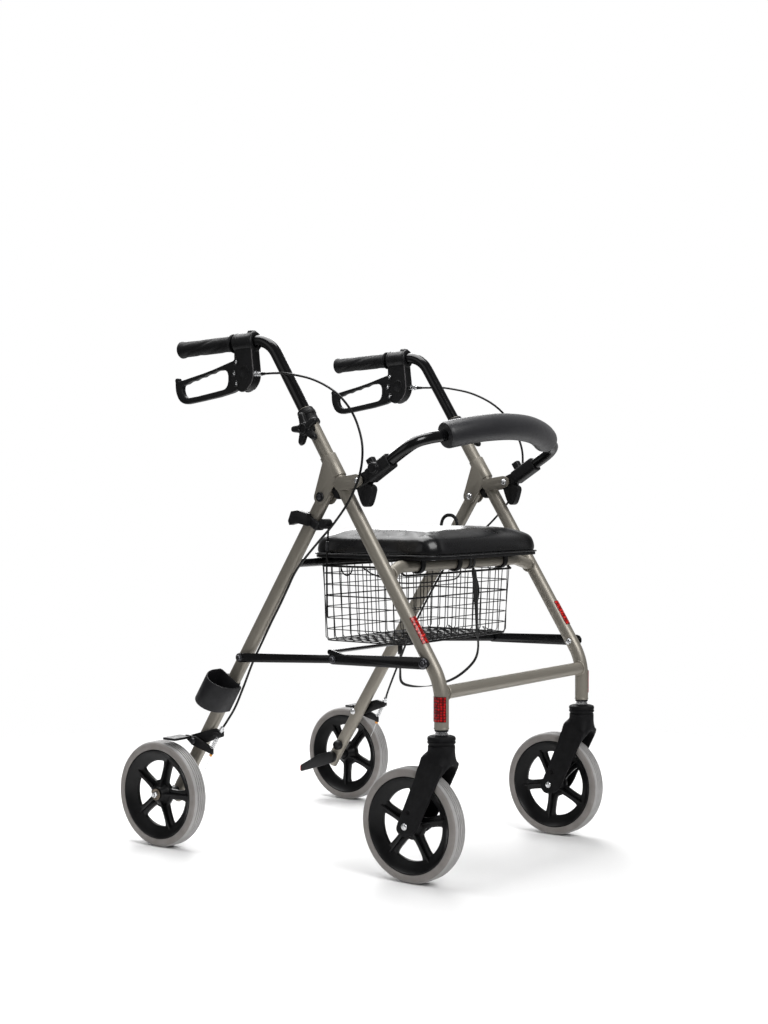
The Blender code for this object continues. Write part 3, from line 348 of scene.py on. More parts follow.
def bake(obj, angle=38.0):
    """Apply an object's modifiers, or turn its curve into a mesh, and remove it."""
    bpy.context.view_layer.update()
    graph = bpy.context.evaluated_depsgraph_get()
    mesh = bpy.data.meshes.new_from_object(obj.evaluated_get(graph), depsgraph=graph)
    mesh.transform(obj.matrix_world)
    bpy.data.objects.remove(obj, do_unlink=True)
    bm = bmesh.new()
    bm.from_mesh(mesh)
    bmesh.ops.remove_doubles(bm, verts=bm.verts, dist=0.00001)
    if bm.calc_volume(signed=True) < 0.0:
        bmesh.ops.reverse_faces(bm, faces=bm.faces)
    return mesh_of(bm, mesh.name, angle)


def joined(meshes, angle=38.0):
    bm = bmesh.new()
    for mesh in meshes:
        bm.from_mesh(mesh)
    return mesh_of(bm, "joined", angle)


def moved(mesh, matrix):
    mesh.transform(matrix)
    if matrix.to_3x3().determinant() < 0:
        mesh.flip_normals()
    return mesh


def frame_at(origin, axis, side_hint=(1, 0, 0)):
    """Matrix whose local +Z is axis and whose +X is near side_hint."""
    z = Vector(axis).normalized()
    x = Vector(side_hint)
    if x.cross(z).length < 0.1:
        x = Vector((0, 1, 0))
    x = (x - z * x.dot(z)).normalized()
    y = z.cross(x)
    return Matrix((
        (x.x, y.x, z.x, origin[0]),
        (x.y, y.y, z.y, origin[1]),
        (x.z, y.z, z.z, origin[2]),
        (0, 0, 0, 1)))


def sweep(path, section, turn=None, caps=True, loop=False, up=(1, 0, 0)):
    """Section carried along a path. section is a list of (u, v), or a function
    of the place 0..1; turn is a function of the place that gives a twist."""
    points = [Vector(p) for p in path]
    count = len(points)
    tangents = []
    for index in range(count):
        before = points[index - 1] if index or loop else points[0]
        after = points[(index + 1) % count] if index < count - 1 or loop else points[-1]
        tangents.append((after - before).normalized())
    normal = Vector(up) - tangents[0] * Vector(up).dot(tangents[0])
    if normal.length < 0.01:
        normal = tangents[0].orthogonal()
    normal.normalize()
    bm = bmesh.new()
    rings = []
    for index, (point, tangent) in enumerate(zip(points, tangents)):
        normal = (normal - tangent * normal.dot(tangent)).normalized()
        place = index / (count - 1)
        across = normal
        if turn:
            across = Matrix.Rotation(turn(place), 3, tangent) @ normal
        other = tangent.cross(across)
        shape = section(place) if callable(section) else section
        rings.append([bm.verts.new(point + across * u + other * v) for u, v in shape])
    pairs = list(zip(rings, rings[1:]))
    if loop:
        pairs.append((rings[-1], rings[0]))
    sides = len(rings[0])
    for low, high in pairs:
        for index in range(sides):
            following = (index + 1) % sides
            bm.faces.new((low[index], low[following], high[following], high[index]))
    if caps and not loop:
        bm.faces.new(list(reversed(rings[0])))
        bm.faces.new(rings[-1])
    bmesh.ops.recalc_face_normals(bm, faces=bm.faces)
    return mesh_of(bm, "sweep", 50.0)


def circle(radius, sides=20):
    return [(radius * cos(2 * pi * i / sides), radius * sin(2 * pi * i / sides)) for i in range(sides)]


def oval(half_u, half_v, power=2.0, sides=24):
    """Superellipse section; a higher power is squarer."""
    points = []
    for i in range(sides):
        a = 2 * pi * i / sides
        c, s = cos(a), sin(a)
        points.append((half_u * abs(c) ** (2 / power) * (1 if c >= 0 else -1),
                       half_v * abs(s) ** (2 / power) * (1 if s >= 0 else -1)))
    return points


def lathe(profile, steps=48, closed=True):
    """(radius, height) points turned about local +Z."""
    bm = bmesh.new()
    rings = []
    for radius, height in profile:
        if radius < 1e-6:
            rings.append([bm.verts.new((0, 0, height))])
            continue
        rings.append([bm.verts.new((radius * cos(2 * pi * s / steps), radius * sin(2 * pi * s / steps),
                                    height))
                      for s in range(steps)])
    pairs = list(zip(rings, rings[1:]))
    if closed:
        pairs.append((rings[-1], rings[0]))
    for low, high in pairs:
        for s in range(steps):
            n = (s + 1) % steps
            corners = [low[s % len(low)], low[n % len(low)], high[n % len(high)], high[s % len(high)]]
            unique = list(dict.fromkeys(corners))
            if len(unique) > 2:
                bm.faces.new(unique)
    if bm.calc_volume(signed=True) < 0.0:
        bmesh.ops.reverse_faces(bm, faces=bm.faces)
    return mesh_of(bm, "turned")


def solid_rod(radius, length, edge=0.0006, steps=24, tip=None):
    """Round bar along +Z with broken edges; tip is the radius at its far end."""
    end = radius if tip is None else tip
    return lathe([(0, 0), (radius - edge, 0), (radius, edge), (end, length - edge), (end - edge, length),
                  (0, length)], steps, closed=False)


def outline_plate(outline, half, bevel, holes=(), steps=2):
    """Plate in the side view, centred on x = 0, with rounded edges."""
    curve = bpy.data.curves.new("outline", "CURVE")
    curve.dimensions = "2D"
    curve.fill_mode = "BOTH"
    curve.extrude = max(half - bevel, 0.00001)
    curve.bevel_depth = bevel
    curve.bevel_resolution = steps
    curve.offset = -bevel
    for shape in (outline, *holes):
        spline = curve.splines.new("POLY")
        spline.points.add(len(shape) - 1)
        spline.use_cyclic_u = True
        for point, (y, z) in zip(spline.points, shape):
            point.co = (y, z, 0.0, 1.0)
    obj = link(bpy.data.objects.new("outline", curve))
    obj.matrix_world = Matrix(((0, 0, 1, 0), (1, 0, 0, 0), (0, 1, 0, 0), (0, 0, 0, 1)))
    return bake(obj)


def softened(points, rounds=2, ratio=0.25):
    """Closed outline with its corners cut off again and again."""
    for _ in range(rounds):
        result = []
        for index, point in enumerate(points):
            following = points[(index + 1) % len(points)]
            result.append(tuple(a + (b - a) * ratio for a, b in zip(point, following)))
            result.append(tuple(a + (b - a) * (1 - ratio) for a, b in zip(point, following)))
        points = result
    return points


def arc(centre, radius, start, end, steps):
    points = []
    for step in range(steps + 1):
        angle = radians(start + (end - start) * step / steps)
        points.append((centre[0] + radius * cos(angle), centre[1] + radius * sin(angle)))
    return points


def bar_outline(first, second, first_radius, second_radius, steps=10):
    heading = atan2(second[1] - first[1], second[0] - first[0]) * 180 / pi
    return (arc(first, first_radius, heading + 90, heading + 270, steps)
            + arc(second, second_radius, heading - 90, heading + 90, steps))


def rounded_path(points, radius, steps=14):
    points = [Vector(p) for p in points]
    path = [points[0]]
    for before, corner, after in zip(points, points[1:], points[2:]):
        toward = (before - corner).normalized()
        away = (after - corner).normalized()
        half = toward.angle(away) / 2
        reach = radius / tan(half)
        centre = corner + (toward + away).normalized() * (radius / sin(half))
        first = (corner + toward * reach - centre).normalized()
        last = (corner + away * reach - centre).normalized()
        for step in range(steps + 1):
            path.append(centre + first.slerp(last, step / steps) * radius)
    path.append(points[-1])
    return path


def spline_path(points, count):
    pts = [Vector(p) for p in points]
    pts = [2 * pts[0] - pts[1]] + pts + [2 * pts[-1] - pts[-2]]
    spans = len(pts) - 3
    path = []
    for index in range(count):
        place = index / (count - 1) * spans
        span = min(int(place), spans - 1)
        t = place - span
        a, b, c, d = pts[span:span + 4]
        path.append(0.5 * (2 * b + (c - a) * t + (2 * a - 5 * b + 4 * c - d) * t ** 2
                           + (3 * b - 3 * c + d - a) * t ** 3))
    return path


def block(low, high, bevel, steps=2):
    """Box with rounded edges."""
    low, high = Vector(low), Vector(high)
    bm = bmesh.new()
    bmesh.ops.create_cube(bm, size=1.0)
    bm.transform(Matrix.Translation((low + high) / 2) @ Matrix.Diagonal((*(high - low), 1.0)))
    bmesh.ops.bevel(bm, geom=list(bm.edges), offset=bevel, segments=steps, affect="EDGES", profile=0.5)
    return mesh_of(bm, "block")


def moulded(meshes, voxel, smooth=2, cutters=()):
    """One moulded solid out of overlapping shapes, its edges melted together."""
    obj = link(bpy.data.objects.new("mould", joined(meshes)))
    remesh = obj.modifiers.new("remesh", "REMESH")
    remesh.mode = "VOXEL"
    remesh.voxel_size = voxel
    tools = []
    for cutter in cutters:
        tool = link(bpy.data.objects.new("cutter", cutter))
        change = obj.modifiers.new("cut", "BOOLEAN")
        change.operation = "DIFFERENCE"
        change.solver = "EXACT"
        change.object = tool
        tools.append(tool)
    if tools:
        again = obj.modifiers.new("again", "REMESH")
        again.mode = "VOXEL"
        again.voxel_size = voxel
    if smooth:
        soften = obj.modifiers.new("soften", "SMOOTH")
        soften.factor = 0.5
        soften.iterations = smooth
    mesh = bake(obj, 60.0)
    for tool in tools:
        bpy.data.objects.remove(tool, do_unlink=True)
    return mesh


def piece(name, mesh, mat, body, replaces=(), ride=True):
    obj = link(bpy.data.objects.new(name, mesh))
    mesh.name = name
    mesh.materials.clear()
    mesh.materials.append(mat)
    if ride:
        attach(obj, body)
    if replaces:
        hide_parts(*replaces)
    return obj


def from_cad(node, mat, body, bevel=0.0007, angle=30.0, name=None):
    """Copy of a CAD node with its sharp edges broken."""
    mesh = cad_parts[node].data.copy()
    bm = bmesh.new()
    bm.from_mesh(mesh)
    bmesh.ops.remove_doubles(bm, verts=bm.verts, dist=0.00002)
    bmesh.ops.dissolve_limit(bm, angle_limit=radians(1.0), verts=bm.verts, edges=bm.edges)
    obj = link(bpy.data.objects.new("copy", mesh_of(bm, "copy")))
    rounding = obj.modifiers.new("rounding", "BEVEL")
    rounding.width = bevel
    rounding.segments = 2
    rounding.limit_method = "ANGLE"
    rounding.angle_limit = radians(angle)
    rounding.harden_normals = False
    return piece(name or node + "_shell", bake(obj, 50.0), mat, body, (node,))


# ---------------------------------------------------------------- wheels
def tyre_mesh():
    """Side walls, with a flat seat for the tread band."""
    half = WHEEL_W / 2
    side = [(RIM_R + 0.0003, half - 0.0006), (RIM_R + 0.0016, half), (RIM_R + 0.0090, half),
            (RIM_R + 0.0112, half - 0.0008), (WHEEL_R - 0.0024, half - 0.0024)]
    other = [(radius, -height) for radius, height in reversed(side)]
    return lathe(side + other, 128)


def tread_mesh():
    """Ground tread with four grooves round it."""
    half = WHEEL_W / 2
    side = [(WHEEL_R - 0.0031, half - 0.0029), (WHEEL_R - 0.0022, half - 0.0025),
            (WHEEL_R - 0.0006, half - 0.0040),
            (WHEEL_R, half - 0.0056)]
    grooves = []
    for groove in range(4):
        middle = 0.0078 - groove * 0.0052
        grooves += [(WHEEL_R, middle + 0.0010), (WHEEL_R - 0.0018, middle + 0.0006),
                    (WHEEL_R - 0.0018, middle - 0.0006), (WHEEL_R, middle - 0.0010)]
    other = [(radius, -height) for radius, height in reversed(side)]
    return lathe(side + grooves + other, 128)


def window(phase, inner=0.0265, outer=0.0630, half_width=0.0090):
    """One of the five openings between the spokes."""
    near, far = asin(half_width / inner), asin(half_width / outer)
    start, end = radians(phase), radians(phase + 72)
    points = []
    for step in range(9):
        angle = start + far + (end - start - 2 * far) * step / 8
        points.append((outer * cos(angle), outer * sin(angle)))
    for step in range(4):
        angle = end - near - (end - start - 2 * near) * step / 3
        points.append((inner * cos(angle), inner * sin(angle)))
    return softened(points, 2)


def hub_mesh(turn, hub_half):
    half = WHEEL_W / 2
    wall = []
    for sign in (1.0, -1.0):
        side = [(RIM_R, sign * (half - 0.0012)), (RIM_R - 0.0022, sign * (half - 0.0008)),
                (RIM_R - 0.0040, sign * (half - 0.0030)), (0.0745, sign * 0.0088), (0.0680, sign * 0.0052),
                (0.0635, sign * 0.0036)]
        wall += side if sign > 0 else list(reversed(side))
    rim = moved(lathe(wall, 96), frame_at((0, 0, 0), (1, 0, 0), (0, 1, 0)))
    disc = outline_plate(arc((0, 0), 0.0665, 0, 356, 72), 0.0036, 0.0009,
                         [window(turn + 72 * s) for s in range(5)])
    ribs = []
    for spoke in range(5):
        angle = radians(turn + 72 * spoke)
        profile = [(0.0130, 0.0128), (0.0240, 0.0118), (0.0700, 0.0068), (0.0760, 0.0030), (0.0760, -0.0030),
                   (0.0700, -0.0068), (0.0240, -0.0118), (0.0130, -0.0128)]
        bm = bmesh.new()
        rows = []
        for aside in (-0.0017, 0.0017):
            rows.append([bm.verts.new((x, r * cos(angle) - aside * sin(angle),
                                       r * sin(angle) + aside * cos(angle)))
                         for r, x in profile])
        for index in range(len(profile)):
            n = (index + 1) % len(profile)
            bm.faces.new((rows[0][index], rows[0][n], rows[1][n], rows[1][index]))
        bm.faces.new(list(reversed(rows[0])))
        bm.faces.new(rows[1])
        bmesh.ops.bevel(bm, geom=list(bm.edges), offset=0.0005, segments=1, affect="EDGES")
        bmesh.ops.recalc_face_normals(bm, faces=bm.faces)
        ribs.append(mesh_of(bm, "rib"))
    barrel = [(0.0045, -hub_half), (0.0125, -hub_half), (0.0135, -hub_half + 0.001), (0.0150, -0.0115),
              (0.0215, -0.0060), (0.0240, 0.0), (0.0215, 0.0060), (0.0150, 0.0115),
              (0.0135, hub_half - 0.001),
              (0.0125, hub_half), (0.0045, hub_half)]
    core = moved(lathe(barrel, 48), frame_at((0, 0, 0), (1, 0, 0), (0, 1, 0)))
    return joined([rim, disc, *ribs, core])


def wheels():
    for side, sign in SIDES.items():
        for end, centre, hub_half in (("front", (sign * FRONT_X, *at(TRAIL, WHEEL_R)), 0.0200),
                                      ("rear", (sign * REAR_X, *REAR_AXLE), 0.0160)):
            body = f"{end}_wheel_{side}"
            name = f"{end}_{side}"
            place = Matrix.Translation(centre)
            tyre = moved(tyre_mesh(), place @ frame_at((0, 0, 0), (1, 0, 0), (0, 1, 0)))
            piece(f"tyre_shell_{name}", tyre, TYRE, body, (f"tyre_{name}",))
            tread = moved(tread_mesh(), place @ frame_at((0, 0, 0), (1, 0, 0), (0, 1, 0)))
            # Lighter tread band: painted light on the rubber.
            piece(f"tyre_tread_{name}", tread, LIT_TREAD_RUBBER, body)
            hub = moved(hub_mesh(SPOKE_TURN[name], hub_half), place)
            piece(f"hub_shell_{name}", hub, RIM_PLASTIC, body, (f"hub_{name}",))


# ---------------------------------------------------------------- casters
def crown_section(place):
    """From the round neck to the wide crown, going down."""
    grow = min(1.0, max(0.0, (place - 0.30) / 0.45))
    soft = grow * grow * (3 - 2 * grow)
    return oval(0.0236 + 0.0034 * soft, 0.0236 + 0.0044 * soft, 2.0 + 2.2 * soft, 40)


def fork_mesh(x):
    """Neck, crown and two blades, arched over the wheel."""
    heights = (0.2436, 0.2380, 0.2320, 0.2260, 0.2200, 0.2140, 0.2080, 0.2010)
    shifts = (0.0, 0.0, 0.0, 0.0010, 0.0025, 0.0045, 0.0065, 0.0090)
    crown = sweep([(x, STEM_Y + dy, z) for dy, z in zip(shifts, heights)], crown_section)
    shape = [at(-0.0200, 0.2150), at(-0.0190, 0.2040), at(-0.0089, 0.1839), at(0.0082, 0.1495),
             at(0.0232, 0.1193), at(0.0300, 0.1040), at(0.0400, 0.0890), at(0.0560, 0.0813),
             at(0.0700, 0.0826), at(0.0790, 0.0925), at(0.0757, 0.1046), at(0.0630, 0.1309),
             at(0.0520, 0.1568), at(0.0390, 0.1860), at(0.0350, 0.2010), at(0.0290, 0.2120),
             at(0.0220, 0.2180)]
    blades = moved(outline_plate(softened(shape, 2), 0.0268, 0.0022), Matrix.Translation((x, 0, 0)))
    half = 0.0210
    arch = [(half * cos(radians(a)), -0.1885 - half * sin(radians(a))) for a in range(0, 181, 10)]
    tunnel = sweep([(x, STEM_Y - 0.06, 0.0), (x, STEM_Y + 0.14, 0.0)],
                   arch + [(-half, -0.05), (half, -0.05)])
    pits = []
    for face in (-1.0, 1.0):
        start = (x + face * 0.0240, *at(0.0515, 0.1261))
        pits.append(moved(solid_rod(0.0042, 0.0050), frame_at(start, (face, 0, 0))))
    return moulded([crown, blades], 0.0012, 8, [tunnel, *pits])


def caster(side, sign):
    x = sign * FRONT_X
    y = STEM_Y
    axle = at(TRAIL, WHEEL_R)
    piece(f"fork_shell_{side}", fork_mesh(x), FORK_PLASTIC, f"caster_{side}",
          (f"fork_{side}",))
    cap = [(0.0060, 0.2440), (0.0222, 0.2440), (0.0224, 0.2462), (0.0240, 0.2466), (0.0244, 0.2474),
           (0.0244, 0.2498), (0.0234, 0.2506), (0.0234, 0.2516), (0.0244, 0.2524), (0.0244, 0.2560),
           (0.0232, 0.2580), (0.0200, 0.2592), (0.0130, 0.2597), (0.0060, 0.2597)]
    piece(f"fork_cap_{side}", moved(lathe(cap, 56), Matrix.Translation((x, y, 0))), FORK_PLASTIC,
          f"caster_{side}")
    stem = joined([
        moved(lathe([(0, 0.2600), (0.0095, 0.2602), (0.0112, 0.2608), (0.0112, 0.2640), (0.0100, 0.2650),
                     (0.0100, 0.2672), (0, 0.2672)], 6, False), Matrix.Translation((x, y, 0))),
        moved(lathe([(0, 0.2500), (0.0052, 0.2500), (0.0052, 0.2760), (0, 0.2760)], 24, False),
              Matrix.Translation((x, y, 0)))])
    piece(f"stem_nut_{side}", stem, ZINC, "front_frame", (f"caster_stem_{side}",))
    plug = lathe([(0.0060, 0.2662), (0.0100, 0.2662), (0.0121, 0.2670), (0.0121, 0.2698), (0.0060, 0.2698)],
                 40)
    piece(f"leg_plug_{side}", moved(plug, Matrix.Translation((x, y, 0))), PLASTIC, "front_frame")
    heads = []
    for face in (-1.0, 1.0):
        head = lathe([(0, 0), (0.0056, 0), (0.0060, 0.0006), (0.0056, 0.0016), (0.0044, 0.0026),
                      (0.0026, 0.0031),
                      (0.0022, 0.0018), (0, 0.0018)], 36, False)
        heads.append(moved(head, frame_at((x + face * 0.0270, *axle), (face, 0, 0), (0, 1, 0))))
    shank = moved(solid_rod(0.0040, 0.0540), frame_at((x - 0.0270, *axle), (1, 0, 0), (0, 1, 0)))
    piece(f"axle_bolt_{side}", joined([*heads, shank]), ZINC, f"caster_{side}",
          (f"front_axle_{side}",))


# ---------------------------------------------------------------- frame tubes
def leg_path(sign):
    top = on_slope(0.825)
    return rounded_path([p3(sign * FRONT_X, at(0, 0.2703)), p3(sign * FRONT_X, at(0, BEND_Z)),
                         p3(sign * FRONT_X, top)], 0.11, 18)


def weld_bead(centre, axis, radius, seed):
    """Ring of overlapping weld drops round a joint."""
    matrix = frame_at(centre, axis)
    path, radii = [], []
    for step in range(72):
        angle = 2 * pi * step / 72
        wobble = 0.00035 * noise.noise(Vector((cos(angle) * 2 + seed, sin(angle) * 2, seed)))
        path.append(matrix @ Vector((radius * cos(angle), radius * sin(angle), wobble)))
        radii.append(0.0021 + 0.00045 * abs(sin(angle * 15)) + 0.0004 * noise.noise(Vector((step * 0.3,
                                                                                            seed, 0))))
    bm = bmesh.new()
    rings = []
    for step in range(72):
        tangent = (path[(step + 1) % 72] - path[step - 1]).normalized()
        outward = (path[step] - Vector(centre)).normalized()
        other = tangent.cross(outward)
        rings.append([bm.verts.new(path[step] + (outward * cos(a) + other * sin(a)) * radii[step])
                      for a in (2 * pi * k / 10 for k in range(10))])
    for step in range(72):
        low, high = rings[step], rings[(step + 1) % 72]
        for k in range(10):
            bm.faces.new((low[k], low[(k + 1) % 10], high[(k + 1) % 10], high[k]))
    bmesh.ops.recalc_face_normals(bm, faces=bm.faces)
    return mesh_of(bm, "bead")


def frame_tubes():
    joint = on_slope(0.530)
    for side, sign in SIDES.items():
        path = leg_path(sign)
        ring = lathe([(0.0112, 0.2703), (0.0124, 0.2703), (0.0131, 0.2708), (0.0133, 0.2718),
                      (0.0131, 0.2728),
                      (0.0126, 0.2734), (0.0112, 0.2734)], 48)
        leg = joined([sweep(path, circle(LEG_R, 36)),
                      moved(ring, Matrix.Translation((sign * FRONT_X, STEM_Y, 0)))])
        piece(f"front_leg_tube_{side}", leg, PAINT, "front_frame", (f"front_leg_{side}",))
        beads = [weld_bead((sign * (FRONT_X - 0.0112), *at(0.0005, 0.3321)), (1, 0, 0), 0.0122, sign + 3.0),
                 weld_bead((sign * (FRONT_X - 0.0112), *joint), (1, 0.2, 0), 0.0114, sign + 5.0)]
        piece(f"weld_{side}", joined(beads, 60.0), PAINT, "front_frame")
        start = Vector(p3(sign * REAR_LEG_X, along(FOLD_PIVOT, REAR_AXLE, -0.010)))
        end = Vector(p3(sign * REAR_LEG_X, along(FOLD_PIVOT, REAR_AXLE, 0.690)))
        rear = sweep([start.lerp(end, k / 24) for k in range(25)], oval(0.0090, 0.0130, 2.8, 36))
        piece(f"rear_leg_tube_{side}", rear, PAINT, "rear_frame", (f"rear_leg_{side}",))
        from_cad(f"leg_bracket_{side}", PAINT, "front_frame", 0.0006)
    reach = FRONT_X - 0.004
    low = at(0.0005, 0.3321)
    bar = sweep([(-reach + 2 * reach * k / 16, *low) for k in range(17)], circle(0.0118, 36))
    piece("lower_cross_bar", bar, PAINT, "front_frame", ("lower_cross_tube",))
    corners = [(-reach, *joint), (-0.196, *SEAT_PIVOT), (0.196, *SEAT_PIVOT), (reach, *joint)]
    bent = sweep(rounded_path(corners, 0.035, 12), circle(0.0110, 36))
    piece("seat_cross_bar", bent, PAINT, "front_frame", ("seat_cross_tube",))
    rail = at(0.3292, 0.5455)
    reach = REAR_LEG_X - 0.0095
    rod = sweep([(-reach + 2 * reach * k / 12, *rail) for k in range(13)], circle(0.0080, 28))
    piece("rear_rail_bar", rod, TUBE, "rear_frame", ("rear_rail",))


def sticker(path, radius, middle, half_angle, mat, name, steps=14):
    """Curved reflector sheet on a tube; middle is its outward direction."""
    points = [Vector(p) for p in path]
    bm = bmesh.new()
    sheets = []
    for lift in (0.0002, 0.0011):
        rows = []
        for index, point in enumerate(points):
            before, after = points[max(index - 1, 0)], points[min(index + 1, len(points) - 1)]
            tangent = (after - before).normalized()
            centre_dir = (Vector(middle) - tangent * Vector(middle).dot(tangent)).normalized()
            row = []
            for step in range(steps + 1):
                angle = -half_angle + 2 * half_angle * step / steps
                direction = Matrix.Rotation(angle, 3, tangent) @ centre_dir
                row.append(bm.verts.new(point + direction * (radius + lift)))
            rows.append(row)
        sheets.append(rows)
    low, high = sheets
    for rows, flip in ((low, True), (high, False)):
        for first, second in zip(rows, rows[1:]):
            for step in range(steps):
                quad = (first[step], first[step + 1], second[step + 1], second[step])
                bm.faces.new(tuple(reversed(quad)) if flip else quad)
    for row in (0, -1):
        for step in range(steps):
            bm.faces.new((low[row][step], low[row][step + 1], high[row][step + 1], high[row][step]))
    for index in range(len(points) - 1):
        for column in (0, -1):
            bm.faces.new((low[index][column], low[index + 1][column], high[index + 1][column],
                          high[index][column]))
    bmesh.ops.recalc_face_normals(bm, faces=bm.faces)
    piece(name, mesh_of(bm, "sheet", 60.0), mat, "front_frame")


def reflectors():
    front = Vector((0, -1, SLOPE)).normalized()
    for side, sign in SIDES.items():
        upright = [(sign * FRONT_X, STEM_Y, 0.2840 + 0.0430 * k / 8) for k in range(9)]
        # Low sheet in the darker copy: painted shade.
        sticker(upright, LEG_R, (sign, 0, 0), radians(70), REFLECT_PAINTED_SHADE, f"reflector_low_{side}")
        strip = []
        outward = {"right": -0.35, "left": -0.10}[side]
        for k in range(9):
            z = 0.4100 + 0.0440 * k / 8
            strip.append(p3(sign * FRONT_X, on_slope(z)))
        sticker(strip, LEG_R, (outward, front.y, front.z), radians(30), REFLECT_PAINTED_LIT,
                f"reflector_high_{side}", 8)


# ---------------------------------------------------------------- bolts
def hex_head(centre, axis, radius=0.0060, height=0.0040):
    head = lathe([(0, 0), (radius, 0), (radius, height - 0.0010), (radius * 0.86, height), (0, height)], 6,
                 False)
    washer = lathe([(0, -0.0008), (radius * 1.25, -0.0008), (radius * 1.30, -0.0002),
                    (radius * 1.15, 0.0002),
                    (0, 0.0003)], 28, False)
    return moved(joined([head, washer]), frame_at(centre, axis, (0, 1, 0)))


def dome_head(centre, axis, radius=0.0055, height=0.0034):
    profile = [(0, -0.0006), (radius * 1.15, -0.0006), (radius * 1.15, 0.0), (radius, 0.0004),
               (radius * 0.92, height * 0.45), (radius * 0.66, height * 0.85), (radius * 0.40, height),
               (radius * 0.34, height * 0.7), (0, height * 0.7)]
    return moved(lathe(profile, 32, False), frame_at(centre, axis, (0, 1, 0)))


def cap_nut(centre, axis, radius=0.0085, height=0.0060):
    """Black plastic cap over a bolt."""
    profile = [(0, 0), (radius, 0), (radius, height * 0.4), (radius * 0.90, height * 0.8),
               (radius * 0.66, height),
               (radius * 0.62, height * 0.72), (0, height * 0.72)]
    return moved(lathe(profile, 40, False), frame_at(centre, axis, (0, 1, 0)))


def pivots():
    for side, sign in SIDES.items():
        out_face = FRONT_X + 0.0131 + 0.0025
        in_face = FRONT_X - 0.0131 - 0.0025
        ring = lathe([(0.0040, 0), (0.0086, 0), (0.0088, 0.0010), (0.0078, 0.0026), (0.0060, 0.0030),
                      (0.0050, 0.0026), (0.0040, 0.0020)], 40)
        ring = moved(ring, frame_at((sign * out_face, *FOLD_PIVOT), (sign, 0, 0)))
        piece(f"pivot_cap_{side}", ring, PLASTIC, "front_frame", (f"pivot_bolt_{side}",))
        centre = cap_nut((sign * out_face, *FOLD_PIVOT), (sign, 0, 0), 0.0052, 0.0040)
        piece(f"pivot_nut_{side}", centre, DARK_STEEL, "front_frame")
        bolts = [dome_head((sign * in_face, *FOLD_PIVOT), (-sign, 0, 0), 0.0062, 0.0040),
                 dome_head((sign * (in_face - 0.0004), *BACKREST_PIVOT), (-sign, 0, 0), 0.0058, 0.0038),
                 dome_head((sign * (out_face + 0.0003), *BACKREST_PIVOT), (sign, 0, 0), 0.0050, 0.0028)]
        for place in (FOLD_PIVOT, BACKREST_PIVOT):
            bolts.append(moved(solid_rod(0.0028, 0.0300),
                               frame_at((sign * FRONT_X - 0.0150, *place), (1, 0, 0))))
        piece(f"pivot_bolts_{side}", joined(bolts), ZINC, "front_frame")
        stop = moulded([moved(outline_plate(softened(
            [at(0.2290, 0.6870), at(0.2240, 0.6700), at(0.2120, 0.6600), at(0.2080, 0.6720),
             at(0.2150, 0.6880)], 2),
            0.0085, 0.0015), Matrix.Translation((sign * FRONT_X, 0.006, 0.0)))], 0.0010, 2)
        piece(f"leg_stop_{side}", stop, PLASTIC, "front_frame")


def links():
    """Bolts on the flat side links; the links are CAD nodes with broken edges."""
    from_cad("front_link_frame", TUBE, "front_links", 0.0004, 35.0)
    for side, sign in SIDES.items():
        from_cad(f"rear_link_{side}", TUBE, f"rear_link_{side}", 0.0004, 35.0)
        face = FRONT_X + 0.0225
        front = [cap_nut((sign * (face - 0.0001), *LINK_FRONT), (sign, 0, 0), 0.0090, 0.0040),
                 hex_head((sign * (face + 0.0012), *LINK_FRONT), (sign, 0, 0), 0.0052, 0.0034)]
        front.append(hex_head((sign * (face + 0.0003), *LINK_MID), (sign, 0, 0), 0.0056, 0.0036))
        piece(f"link_bolts_{side}", joined(front), DARK_STEEL, "front_links")
        rear = [hex_head((sign * (0.2630 + 0.0003), *LINK_REAR), (sign, 0, 0), 0.0056, 0.0036)]
        piece(f"link_rear_bolt_{side}", joined(rear), DARK_STEEL, f"rear_link_{side}")
        inner = dome_head((sign * (FRONT_X - LEG_R + 0.0004), *LINK_FRONT), (-sign, 0, 0), 0.0055, 0.0030)
        piece(f"link_inner_bolt_{side}", inner, ZINC, "front_frame")
        back = dome_head((sign * (REAR_LEG_X - 0.0094), *LINK_REAR), (-sign, 0, 0), 0.0052, 0.0028)
        piece(f"link_back_bolt_{side}", back, ZINC, "rear_frame")


# ---------------------------------------------------------------- handles
def handle_path(sign):
    x = sign * FRONT_X
    return rounded_path([p3(x, on_slope(0.655)), p3(x, on_slope(HANDLE_Z)), p3(x, grip_axis(0.5960))],
                        0.055, 20)


